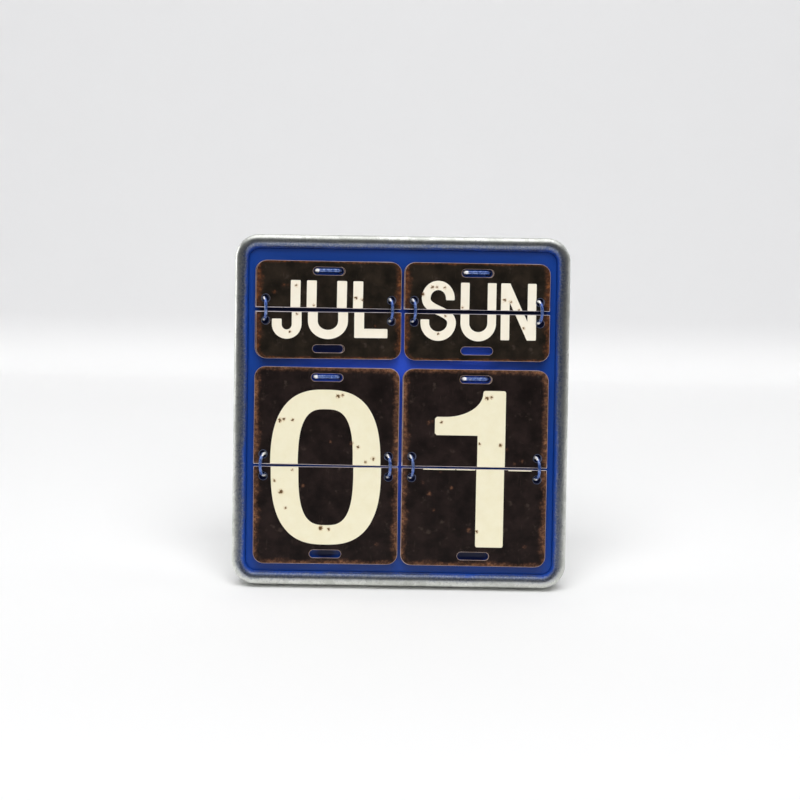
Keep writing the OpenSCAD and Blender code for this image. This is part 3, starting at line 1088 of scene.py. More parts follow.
@dataclass(frozen=True)
class Case:
    """The pressed case: rim with its front bead, blue panel and back plate.

    The bead's unevenness is a sum of waves, each given by its turns along the rim, its phase and its divisor.
    """

    width: float = 173.0
    height: float = 181.15
    depth: float = 16.0
    bead: float = 3.5
    corner: float = 12.5
    sheet: float = 0.6
    fold: float = 1.2
    lip: float = 4.0
    ledge: float = 4.0
    ledge_y: float = 4.65
    ledge_bend: float = 0.6
    cut_edge: float = 0.12
    hang_inset: float = 20.0
    hang_r: float = 3.25
    wobble: float = 0.035
    wobble_depth: float = 8.0
    last_span: float = 3.0
    dip_lag: int = 40
    waves: tuple[tuple[int, float, float], ...] = ((17, 0.4, 1.0), (41, 2.1, 1.6), (73, 4.0, 2.4))

    def section(self) -> np.ndarray:
        """The rim's section, as distance inwards from the case's outside and depth.

        It is a path of straight runs and arcs, from the ledge over the bead and the wall to the folded lip,
        with half the sheet's thickness laid off to both sides and a round cut end.

        Returns:
            An (n, 2) closed loop.
        """
        t = self.sheet / 2
        wall, inner = t, 2 * self.bead - t
        corners = [
            (inner + self.ledge + t, self.ledge_y + t),
            (inner, self.ledge_y + t),
            (inner, t),
            (wall, t),
            (wall, self.depth - t),
            (self.fold + self.lip, self.depth - t),
        ]
        flat = np.array([(x, y, 0.0) for x, y in corners])
        bends = np.array([self.ledge_bend, self.bead - t, self.bead - t, self.fold - t])
        path = filleted(flat, bends, 20)[:, :2]
        ahead = unit(np.gradient(path, axis=0))
        normal = np.stack([-ahead[:, 1], ahead[:, 0]], 1)
        ends = []
        for at, start in ((-1, -90.0), (0, 90.0)):
            arc = superellipse((0, 0), (1, 1), span=(start, start + 180), count=7)[1:-1]
            ends.append(path[at] + t * arc @ np.stack([ahead[at], normal[at]]))
        return np.concatenate([path - normal * t, ends[0], (path + normal * t)[::-1], ends[1]])

    def rim_path(self) -> tuple[np.ndarray, np.ndarray]:
        """The case's outside: four quarter circles centre + corner*(cos t, sin t), with straight runs.

        Returns:
            Points in x and z about every three millimetres, and their outward directions.
        """
        half = np.array([self.width / 2 - self.corner, self.height / 2 - self.corner])
        signs = np.array([(1, 1), (-1, 1), (-1, -1), (1, -1)])
        along = np.linspace(0, 1, 50)[1:-1, None]
        points, normals = [], []
        for k, (sign, following) in enumerate(zip(signs, np.roll(signs, -1, 0))):
            t = np.radians(90 * k + np.linspace(0, 90, 19))
            out = np.stack([np.cos(t), np.sin(t)], 1)
            arc = half * sign + self.corner * out
            points += [arc, arc[-1] + along * (half * (following - sign))]
            normals += [out, np.repeat(out[-1:], len(along), 0)]
        return np.concatenate(points) + np.array([0, self.height / 2]), np.concatenate(normals)

    def build_rim(self, finish: Material) -> None:
        """Carries the section along the outside: path - out*inset, with a hand-rolled unevenness of the bead.

        The unevenness is a sum of sines of the run along the rim, at its full size on the bead's crest and
        fading to nothing on the back.

        Args:
            finish: the material.
        """
        outside, out = self.rim_path()
        section = self.section()
        run = np.cumsum(np.r_[0, np.linalg.norm(np.diff(outside, axis=0), axis=1)])
        turns = 2 * math.pi * run / (run[-1] + self.last_span)
        waves = sum(np.sin(k * turns + phase) / n for k, phase, n in self.waves)
        fade = np.clip(1 - section[:, 1] / self.wobble_depth, 0, 1)
        inset = section[:, 0] + self.wobble * waves[:, None] * fade
        on_crest = fade * (section[:, 1] < self.bead - 0.5)
        dip = self.wobble * (1 + np.roll(waves, self.dip_lag)[:, None] / 2) * on_crest
        flat = outside[:, None] - out[:, None] * inset[..., None]
        points = np.stack([flat[..., 0], section[:, 1] + dip, flat[..., 1]], 2)
        shape = Shape()
        shape.add_grid(points, round_rows=True)
        shape.piece("case_rim", [finish], Body.CASE.value, ["frame"], "galvanised_steel")

    def inner(self, edge: float) -> Outline:
        """The case's outline with its sides moved inwards to the given edge."""
        low, high = (edge - self.width / 2, edge), (self.width / 2 - edge, self.height - edge)
        return Outline.box(low, high, self.corner - edge, 16)

    def build_back(self, finish: Material) -> None:
        """The back plate, a flat sheet behind the folded lip, with the hanging hole.

        Args:
            finish: the material.
        """
        hole = Outline.disc(0, self.height - self.hang_inset, self.hang_r, 12)
        shape = Shape()
        plane = Placement((0, BACK_Y, 0))
        sheet_part(shape, self.inner(self.fold + 0.05), [hole], plane, self.sheet, self.cut_edge)
        shape.piece("back_sheet", [finish], Body.CASE.value, ["back_plate"], "galvanised_steel")

    def build_panel(self, finish: Material, holes: list[Outline]) -> None:
        """The blue panel, a flat sheet on the rim's ledge, with a hole for every leg of wire.

        Args:
            finish: the material.
            holes: the outlines of its holes.
        """
        shape = Shape()
        plane = Placement((0, PANEL_Y, 0))
        sheet_part(shape, self.inner(2 * self.bead + 0.1), holes, plane, self.sheet, self.cut_edge)
        shape.piece("enamelled_panel", [finish], Body.CASE.value, ["panel"], "blue_enamel")


# ---- lettering ----


def band(path: np.ndarray, stem: float, bar: float, corner: float) -> Loop:
    """A pen stroke along a path: wide as the stem where it runs upright and as the bar where it lies flat.

    Half its width is the length of (stem/2*n_x, bar/2*n_z), with n the path's normal. Its cut ends have
    corners of the given radius, laid off from the distance to the nearer end.

    Args:
        path: an (n, 2) array.
        stem: width of an upright stroke.
        bar: width of a flat stroke.
        corner: radius of the corners at its ends.

    Returns:
        The stroke's outline.
    """
    run = np.r_[0, np.cumsum(np.linalg.norm(np.diff(path, axis=0), axis=1))]
    end = corner * (1 - np.cos(np.linspace(0, math.pi / 2, 4)))
    middle = np.linspace(corner, run[-1] - corner, 3 + int(run[-1] / (0.09 * stem + 0.35)))[1:-1]
    at = np.concatenate([end, middle, run[-1] - end[::-1]])
    points = np.stack([np.interp(at, run, path[:, k]) for k in (0, 1)], 1)
    ahead = unit(np.gradient(points, at, axis=0))
    normal = np.stack([-ahead[:, 1], ahead[:, 0]], 1)
    nearest = np.maximum(corner - np.minimum(at, run[-1] - at), 0)
    half = np.hypot(stem / 2 * normal[:, 0], bar / 2 * normal[:, 1]) - corner
    half = half + np.sqrt(corner**2 - nearest**2)
    return np.concatenate([points + normal * half[:, None], (points - normal * half[:, None])[::-1]])


@dataclass(frozen=True)
class Letter:
    """One letter's cell: its width and height, its stroke widths, and how far round letters run over it."""

    w: float
    h: float
    stem: float
    bar: float
    over: float
    corner: float

    def block(self, x0: float, z0: float, x1: float, z1: float) -> Stroke:
        """A straight upright or flat stroke."""
        return [Outline.box((x0, z0), (x1, z1), self.corner, 3).ring(0)]

    def slab(self, *points: Pair) -> Stroke:
        """A slanting stroke, given by its corners anticlockwise."""
        return [Outline(points, (self.corner * 0.6,) * len(points), 2).ring(0)]

    def pen(self, *parts: np.ndarray | Pair) -> Stroke:
        """A curved stroke along points and arcs."""
        path = np.concatenate([np.atleast_2d(np.array(part, float)) for part in parts])
        return [band(path, self.stem, self.bar, self.corner)]

    def vee(self, half: float, z: float = 0.0) -> list[Stroke]:
        """Draws the two slanting strokes from one foot up to both top corners.

        Args:
            half: half the foot's width.
            z: the foot's height.

        Returns:
            The strokes.
        """
        w, h, lean, mid = self.w, self.h, self.stem * 1.12, self.w / 2
        foot = ((mid - half, z), (mid + half, z))
        return [self.slab(*foot, (lean, h), (0, h)), self.slab(*foot, (w, h), (w - lean, h))]

    def top_arc(self, x0: float, x1: float, z: float, span: Pair = (180, 0)) -> np.ndarray:
        """The pen's arc under the top line between two upright strokes, from the height z up."""
        rise = self.h + self.over - self.bar / 2 - z
        return superellipse(((x0 + x1) / 2, z), (abs(x1 - x0) / 2, rise), span=span)

    def bottom_arc(self, x0: float, x1: float, z: float, span: Pair = (180, 360)) -> np.ndarray:
        """The pen's arc on the base line between two upright strokes, from the height z down."""
        drop = z + self.over - self.bar / 2
        return superellipse(((x0 + x1) / 2, z), (abs(x1 - x0) / 2, drop), span=span)

    def bowl(self, x: float, right: float, z0: float, z1: float) -> np.ndarray:
        """The pen's path from a stem round to the right and back to the stem.

        Args:
            x: the stem's middle.
            right: how far the bowl reaches.
            z0: height of its lower arm.
            z1: height of its upper arm.

        Returns:
            An (n, 2) array from the upper arm to the lower one.
        """
        reach = min(right - x, (z1 - z0) * 0.62)
        middle = (right - reach, (z0 + z1) / 2)
        arc = superellipse(middle, (reach, (z1 - z0) / 2), 2.3, (90, -90), 33)
        return np.concatenate([[(x, z1)], arc, [(x, z0)]])

    def hoop(self, x: float, z: float, half_w: float, half_h: float, powers: Pair) -> Stroke:
        """A closed round stroke between an outer and an inner superellipse.

        Args:
            x: its middle.
            z: its middle's height.
            half_w: half its width.
            half_h: half its height.
            powers: how square the outer and the inner superellipse are.

        Returns:
            The stroke, as its two outlines.
        """
        outer = superellipse((x, z), (half_w, half_h), powers[0], (0, 357.5), 144)
        inner = superellipse((x, z), (half_w - self.stem, half_h - self.bar), powers[1], (0, -357.5), 144)
        return [outer, inner]

    def strokes(self, sign: str) -> list[Stroke]:
        """Draws a sign in this cell, from the base line at z = 0.

        Args:
            sign: a capital or a figure.

        Returns:
            Its strokes.
        """
        w, h, s, b = self.w, self.h, self.stem, self.bar
        left, right, mid = s / 2, w - s / 2, w / 2
        low, high = 0.293 * h, 0.707 * h
        lean = s * 1.12
        stem = self.block(0, 0, s, h)
        stems = [stem, self.block(w - s, 0, w, h)]
        if sign == "A":
            legs = [self.slab((0, 0), (lean, 0), (mid + lean / 2, h), (mid - lean / 2, h))]
            legs += [self.slab((w - lean, 0), (w, 0), (mid + lean / 2, h), (mid - lean / 2, h))]
            return legs + [self.block(0.2 * w, 0.2 * h, 0.8 * w, 0.2 * h + b)]
        if sign == "B":
            upper = self.pen(self.bowl(left, right - 0.04 * w, 0.53 * h, h - b / 2))
            return [stem, upper, self.pen(self.bowl(left, right, b / 2, 0.53 * h))]
        if sign in "CG":
            arcs = [(right, 0.66 * h), self.top_arc(left, right, high, (0, 180))]
            arcs += [self.bottom_arc(left, right, low), (right, 0.34 * h if sign == "C" else 0.44 * h)]
            bar = [] if sign == "C" else [self.block(0.52 * w, 0.38 * h, w, 0.38 * h + b)]
            return [self.pen(*arcs)] + bar
        if sign == "D":
            return [stem, self.pen(self.bowl(left, right, b / 2, h - b / 2))]
        if sign in "EF":
            bars = [self.block(0, h - b, w, h), self.block(0, 0.5 * h - b / 2, 0.9 * w, 0.5 * h + b / 2)]
            return [stem] + bars + ([self.block(0, 0, w, b)] if sign == "E" else [])
        if sign == "H":
            return stems + [self.block(s / 2, 0.5 * h - b / 2, w - s / 2, 0.5 * h + b / 2)]
        if sign == "I":
            return [stem]
        if sign == "J":
            hook = self.bottom_arc(left, right, 0.232 * h, (0, -180))
            return [self.pen((right, h), hook, (left, 0.327 * h))]
        if sign == "L":
            return [stem, self.block(0, 0, w, b)]
        if sign == "M":
            return stems + self.vee(s / 2)
        if sign == "N":
            return stems + [self.slab((w - 0.255 * w, 0), (w, 0), (0.255 * w, h), (0, h))]
        if sign == "O":
            return [self.hoop(mid, h / 2, mid, h / 2 + self.over, (2.5, 2.6))]
        if sign in "PR":
            head = [stem, self.pen(self.bowl(left, right, 0.44 * h, h - b / 2))]
            hip, half = 0.56 * w, lean / 2
            leg = self.slab((w - lean, 0), (w, 0), (hip + half, 0.5 * h), (hip - half, 0.5 * h))
            return head + ([leg] if sign == "R" else [])
        if sign == "S":
            top = self.top_arc(0.159 * w, 0.838 * w, 0.714 * h, (0, 180))
            bottom = self.bottom_arc(0.126 * w, 0.88 * w, 0.293 * h, (0, -180))
            t = np.linspace(0, 1, 25)[1:-1, None]
            a, d = top[-1], bottom[0]
            pull = np.array([0, 0.221 * h])
            spine = (1 - t) ** 3 * a + 3 * (1 - t) ** 2 * t * (a - pull)
            spine = spine + 3 * (1 - t) * t**2 * (d + pull) + t**3 * d
            return [self.pen((0.838 * w, 0.687 * h), top, spine, bottom, (0.126 * w, 0.35 * h))]
        if sign == "T":
            return [self.block(0, h - b, w, h), self.block(mid - s / 2, 0, mid + s / 2, h)]
        if sign == "U":
            return [self.pen((left, h), self.bottom_arc(left, right, low), (right, h))]
        if sign == "V":
            return self.vee(lean / 2)
        if sign == "W":
            feet = (0.28 * w, 0.72 * w)
            tops = (lean / 2, mid, mid, w - lean / 2)
            pairs = zip((feet[0], feet[0], feet[1], feet[1]), tops)
            half = lean / 2
            return [self.slab((f - half, 0), (f + half, 0), (t + half, h), (t - half, h)) for f, t in pairs]
        if sign == "Y":
            return self.vee(s / 2, 0.4 * h) + [self.block(mid - s / 2, 0, mid + s / 2, 0.46 * h)]
        return self.figure(sign)

    def figure(self, sign: str) -> list[Stroke]:
        """Draws a figure in this cell, from the base line at z = 0.

        Args:
            sign: a figure from 0 to 9.

        Returns:
            Its strokes.
        """
        w, h, s, b = self.w, self.h, self.stem, self.bar
        left, right, mid = s / 2, w - s / 2, w / 2
        if sign == "0":
            return [self.hoop(mid, h / 2 - 0.003 * h, mid, h / 2 - 0.005 * h, (2.65, 3.0))]
        if sign == "1":
            flag, shoulder, tip, neck = 0.713 * h, 0.83 * h, 0.985 * h, w - 0.82 * s
            cove = superellipse((0.14 * w, tip), (neck - 0.14 * w, tip - shoulder), 2.0, (-90, 0), 20)
            stem = [(1.0, flag), (w - s, flag), (w - s, 0.5 * h), (w, 0.5 * h), (w, h - 1.0)]
            top = [(w - 0.3, h - 0.3), (w - 1.0, h), (neck + 1.0, h), (neck + 0.3, h - 0.3)]
            nose = [(1.0, shoulder), (0, shoulder - 1.0), (0, flag + 1.0)]
            return [self.block(w - s, 0, w, 0.6 * h), [np.concatenate([stem, top, cove[::-1], nose])]]
        if sign == "2":
            top = self.top_arc(left, right - 0.02 * w, 0.71 * h)
            middle = (right - 0.02 * w - 0.72 * w, 0.71 * h)
            slide = superellipse(middle, (0.72 * w, 0.62 * h), 1.7, (0, -78), 24)
            return [self.pen((left, 0.69 * h), top, slide[1:]), self.block(0, 0, w, b * 1.15)]
        if sign == "3":
            back_in = superellipse((mid, 0.75 * h), (right - mid - 0.03 * w, 0.235 * h), 2, (0, -90), 14)
            back_out = superellipse((mid, 0.27 * h), (right - mid, 0.255 * h), 2.2, (90, 0), 14)
            upper = self.pen((left, 0.74 * h), self.top_arc(left, right - 0.03 * w, 0.75 * h), back_in)
            lower = self.pen(back_out, self.bottom_arc(left, right, 0.26 * h, (0, -180)), (left, 0.28 * h))
            return [upper, lower, self.block(0.34 * w, 0.515 * h - b / 2, 0.6 * w, 0.515 * h + b / 2)]
        if sign == "4":
            down = self.slab((0, 0.24 * h), (s * 0.95, 0.24 * h), (0.74 * w, h), (0.74 * w - s * 0.95, h))
            stem = self.block(0.74 * w - s, 0, 0.74 * w, h)
            return [down, stem, self.block(0, 0.2 * h, w, 0.2 * h + b * 1.1)]
        if sign == "5":
            over = superellipse((mid, 0.33 * h), (right - mid, 0.28 * h), 2.2, (105, 0), 18)
            under = self.bottom_arc(left, right, 0.28 * h, (0, -180))
            brow = self.block(0.06 * w, h - b * 1.15, 0.95 * w, h)
            back = self.block(0.06 * w, 0.47 * h, 0.06 * w + s, h)
            return [brow, back, self.pen((left, 0.52 * h), over, under, (left, 0.27 * h))]
        if sign in "69":
            ring = self.hoop(mid, 0.3 * h, mid, 0.3 * h, (2.4, 2.5))
            arc = self.top_arc(left, right - 0.02 * w, 0.7 * h)
            sweep = self.pen((left, 0.3 * h), arc, (right - 0.02 * w, 0.68 * h))
            if sign == "6":
                return [ring, sweep]
            return [[np.array([w, h]) - loop for loop in stroke] for stroke in (ring, sweep)]
        if sign == "7":
            down = self.slab((0.2 * w, 0), (0.2 * w + s * 1.1, 0), (w, h - b), (w - s * 1.1, h - b))
            return [self.block(0, h - b * 1.15, w, h), down]
        rings = [self.hoop(mid, 0.265 * h, mid, 0.265 * h, (2.3, 2.4))]
        return rings + [self.hoop(mid, 0.745 * h, mid * 0.92, 0.255 * h, (2.3, 2.4))]


@dataclass(frozen=True)
class Typeface:
    """A bold plain lettering of one height, whose words may be set to one width.

    A word's place is how far it sits to the right, and its own gap between letters.
    """

    top: float
    foot: float
    stem: float
    bar: float
    over: float
    corner: float
    widths: dict[str, float]
    gap: float
    set_width: float | None
    places: dict[str, Pair]

    def word(self, text: str) -> list[Stroke]:
        """Sets a word in the middle of its picture, scaled sideways to the set width where there is one.

        Args:
            text: the word or figure.

        Returns:
            Its strokes in millimetres from the picture's middle.
        """
        shift, gap = self.places.get(text, (0.0, self.gap))
        natural = sum(self.widths[sign] for sign in text) + gap * (len(text) - 1)
        scale = self.set_width / natural if self.set_width else 1.0
        x, strokes = shift - natural * scale / 2, []
        for sign in text:
            width = self.widths[sign] * scale
            cell = Letter(width, self.top - self.foot, self.stem * scale, self.bar, self.over, self.corner)
            strokes += [[loop + np.array([x, self.foot]) for loop in stroke] for stroke in cell.strokes(sign)]
            x += width + gap * scale
        return strokes


WORDS = Typeface(
    top=15.05,
    foot=-14.23,
    stem=4.75,
    bar=4.75,
    over=0.75,
    corner=0.45,
    gap=2.8,
    set_width=59.6,
    places={"JUL": (-0.1, 3.08), "SUN": (0.55, 2.54)},
    widths={
        **{"A": 20.6, "B": 18.4, "C": 18.6, "D": 19.2, "E": 16.2, "F": 15.6, "G": 19.4, "H": 19.2},
        **{"I": 4.75, "J": 14.4, "L": 16.1, "M": 24.0, "N": 19.3, "O": 20.2, "P": 18.0, "R": 18.6},
        **{"S": 19.4, "T": 17.6, "U": 19.4, "V": 20.4, "W": 29.0, "Y": 20.2},
    },
)
FIGURES = Typeface(
    top=40.0,
    foot=-41.0,
    stem=14.3,
    bar=10.1,
    over=0.0,
    corner=1.0,
    gap=0.0,
    set_width=None,
    places={"0": (-0.2, 0.0), "1": (-2.6, 0.0)},
    widths=dict(zip("0123456789", (57.0, 36.4, 50.0, 50.0, 54.0, 50.0, 52.0, 48.0, 53.0, 52.0))),
)


def cut_at(loop: Loop, line: float, way: int) -> Loop:
    """Cuts a loop off at a level line: crossings are worked out, and what lies beyond is laid on it.

    Args:
        loop: the closed loop.
        line: the line's height.
        way: 1 to keep what is above the line, -1 to keep what is below.

    Returns:
        The loop, which runs along the line where it was cut.
    """
    following = np.roll(loop, -1, 0)
    over, next_over = (loop[:, 1] - line) * way, (following[:, 1] - line) * way
    cut = np.flatnonzero(over * next_over < 0)
    share = (over[cut] / (over[cut] - next_over[cut]))[:, None]
    crossing = loop[cut] + share * (following[cut] - loop[cut])
    whole = np.insert(loop, cut + 1, crossing, axis=0)
    whole[:, 1] = line + way * np.maximum((whole[:, 1] - line) * way, 0)
    return whole


# ---- flip plates ----


@dataclass(frozen=True)
class Pack:
    """One pack of flip plates: where it hangs, what it shows and how its front plates are worn.

    The lean signs belong to its left and right loops. Slides, skews and shifts are those of the front
    standing and the front hanging plate: how far each sits to the right, how many degrees it is turned, and
    how far its print is off. The edge highlights are runs of cream ink along the hanging plate's top edge,
    a painted highlight where that edge catches the light.
    """

    name: str
    pictures: tuple[str, ...]
    shown: int
    side: int
    number: int
    half_h: float
    split: float
    axis_z: float
    typeface: Typeface
    lean_signs: tuple[int, int]
    slides: Pair
    skews: Pair
    shifts: Pair
    # painted highlight: cream strips along the front hanging plate's top edge
    edge_highlights: tuple[Pair, ...] = ()
    edge_highlight_h: float = 0.45
    width: float = 74.8
    corner: float = 5.5
    inner_corner: float = 0.35
    hole_r: float = 2.1
    slot: Pair = (8.2, 2.0)
    thick: float = 0.25
    pitch: float = 0.3
    axis_y: float = 0.2
    edge: float = 0.11
    bare: float = 0.1

    @property
    def x(self) -> float:
        """The pack's middle, left or right of the case's."""
        return self.side * PACK_X

    @property
    def print_edge(self) -> float:
        """How far from the hinge axis the print begins."""
        return self.split / 2 + self.edge + self.bare + 0.03

    def count(self, half: Half) -> int:
        """How many plates stand or hang."""
        return len(self.pictures) - self.shown + 1 if half is Half.UPPER else self.shown

    def stray(self, k: int, most: float) -> float:
        """How far a plate behind the first strays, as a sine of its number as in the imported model."""
        return most * math.sin(math.radians(137.5 * k + 80 * self.number))

    def outline(self, half: Half) -> tuple[Outline, list[Outline]]:
        """Draws a plate from its hinge axis.

        Args:
            half: whether it stands or hangs.

        Returns:
            Its outline, and the outlines of its two loop holes and its slot.
        """
        w, near, far = self.width / 2, self.split / 2, self.split / 2 + self.half_h
        low, high = sorted((near * half.value, far * half.value))
        radii = (self.inner_corner, self.inner_corner, self.corner, self.corner)
        corners = ((-w, low), (w, low), (w, high), (-w, high))
        outer = Outline(corners, radii if half is Half.UPPER else radii[::-1], 12)
        holes = [Outline.disc(x, HOLE_Z * half.value, self.hole_r) for x in (-HOLE_X, HOLE_X)]
        (wide, tall), z = self.slot, (far - SLOT_INSET) * half.value
        return outer, holes + [Outline.box((-wide, z - tall), (wide, z + tall), tall, 8)]

    def printed(self, picture: int, half: Half, at: Half, shift: float = 0.0) -> list[Stroke]:
        """Half of a picture's strokes, cut off at the plate's inner edge and laid on the plate's own half.

        Args:
            picture: its number from 1; there is nothing on a number that the pack lacks.
            half: which half of the picture.
            at: which half the plate stands for at rest.
            shift: how far the print sits to the right.

        Returns:
            The strokes.
        """
        if not 1 <= picture <= len(self.pictures):
            return []
        turn = np.array([1.0, float(half.value * at.value)])
        strokes = []
        for stroke in self.typeface.word(self.pictures[picture - 1]):
            loops = [cut_at(loop, half.value * self.print_edge, half.value) for loop in stroke]
            if max(np.ptp(loop[:, 1]) for loop in loops) > 0.01:
                strokes.append([(loop + np.array([shift, 0.0])) * turn for loop in loops])
        return strokes

    def build_plate(self, k: int, half: Half, finishes: list[Material]) -> None:
        """Builds plate k of the standing or hanging plates, printed on both sides.

        Args:
            k: its number from the front.
            half: whether it stands or hangs.
            finishes: ground, lettering and cut edge.
        """
        row = 0 if half is Half.UPPER else 1
        slide = self.slides[row] if k == 1 else self.stray(k, 0.1)
        turn = math.radians(self.skews[row] if k == 1 else self.stray(k + 1, 0.03))
        shift = self.shifts[row] if k == 1 else 0.0
        layer = k - 1 if half is Half.UPPER else k
        depth = self.axis_y + layer * self.pitch - self.thick / 2
        right, up = (math.cos(turn), 0.0, math.sin(turn)), (-math.sin(turn), 0.0, math.cos(turn))
        plane = Placement((self.x + slide, depth, self.axis_z), right, up)
        ahead = k - 1 if half is Half.UPPER else 1 - k
        front = self.printed(self.shown + ahead, half, half, shift)
        back = self.printed(self.shown + ahead + half.value, half.other, half)
        # painted highlight: cream ink strips along the front hanging plate's top edge
        if k == 1 and half is Half.LOWER:
            low, top = -self.print_edge - self.edge_highlight_h, -self.print_edge
            front += [[Outline.box((x0, low), (x1, top), 0.15, 3).ring(0)] for x0, x1 in self.edge_highlights]
        shape = Shape()
        outer, holes = self.outline(half)
        sheet_part(shape, outer, holes, plane, self.thick, self.edge, front, back, (0, 1, 2), self.bare)
        node = f"{self.name}_{half.word}_{k}"
        shape.piece("printed_" + node, finishes, node, [node], "printed_tinplate", printed=True)

    def build(self, tin: LithographedTin, edge: Material) -> None:
        """Builds all plates of the pack.

        Args:
            tin: the print's finish.
            edge: the material of the cut edges.
        """
        ground = dressed(tin.name + "_ground", tin.ground_look)
        finishes = [ground, dressed(tin.name + "_lettering", tin.ink_look), edge]
        for half in Half:
            for k in range(1, self.count(half) + 1):
                self.build_plate(k, half, finishes)


MONTHS = ("JAN", "FEB", "MAR", "APR", "MAY", "JUN", "JUL", "AUG", "SEP", "OCT", "NOV", "DEC")
DAYS = ("SUN", "MON", "TUE", "WED", "THU", "FRI", "SAT")
SMALL = {"half_h": 24.2, "split": 1.9, "axis_z": 142.5, "typeface": WORDS}
LARGE = {"half_h": 50.35, "split": 1.0, "axis_z": 62.1, "typeface": FIGURES}
PACKS = (
    Pack(
        "month", MONTHS, shown=7, side=-1, number=0, **SMALL,
        lean_signs=(1, 1), slides=(0.35, 0.45), skews=(-0.3, 0.3), shifts=(0, 0.63),
    ),
    Pack(
        "weekday", DAYS, shown=1, side=1, number=1, **SMALL,
        lean_signs=(1, 1), slides=(0.35, 0.45), skews=(-0.15, 0.1), shifts=(0, -0.05),
    ),
    Pack(
        "tens", tuple("0123"), shown=1, side=-1, number=2, **LARGE,
        lean_signs=(-1, 1), slides=(-0.1, 0), skews=(-0.3, 0.25), shifts=(0, 0.27),
    ),
    Pack(
        "units", tuple("0123456789"), shown=2, side=1, number=3, **LARGE,
        lean_signs=(1, 1), slides=(0.3, 0.3), skews=(-0.1, -0.15), shifts=(0, -0.28),
        edge_highlights=((-26.5, -9.8), (-9.3, 0.4), (17.5, 29.5)),
    ),
)
SMALL_SPECKS = (
    (-23.1, 12.4, 0.55), (-20.9, 12.5, 0.4), (-16.8, 12.3, 0.35), (-28.1, 8.9, 0.6), (14.0, 6.4, 0.6),
    (17.2, 5.5, 0.4), (21.5, 1.6, 0.25), (-7.6, 2.4, 0.25), (-16.4, -2.2, 0.35), (-19.9, -11.3, 0.4),
    (24.0, -8.0, 0.3),
)
LARGE_SPECKS = (
    (5.9, 36.2, 0.75), (8.1, 36.8, 0.5), (-24.0, 23.0, 0.7), (-22.0, 23.7, 0.5), (-17.4, 23.4, 0.45),
    (13.1, 12.0, 0.7), (16.6, 9.9, 0.5), (24.5, 4.2, 0.6), (20.6, 2.4, 0.35), (2.5, 12.4, 0.35),
    (-17.3, -2.2, 0.35), (-26.5, -7.9, 0.4), (-23.1, -13.8, 0.95), (-20.7, -22.0, 0.45), (-2.4, -32.3, 0.85),
    (1.7, -32.8, 0.5), (26.7, -40.5, 0.6), (-11.7, -10.4, 0.7),
)
SMALL_TIN = LithographedTin(
    "printed_tinplate_small", 37.4, 25.15, SMALL_SPECKS, rust="#84502f", dull_rust="#43271b", top_share=0.4,
    black="#13100c", brown="#2b231b", cream="#f4efe1", aged="#ebe1cb",
)
LARGE_TIN = LithographedTin(
    "printed_tinplate_large", 37.4, 50.85, LARGE_SPECKS, rust="#94664a", dull_rust="#4a3226", top_share=0.75,
)


# ---- wires ----


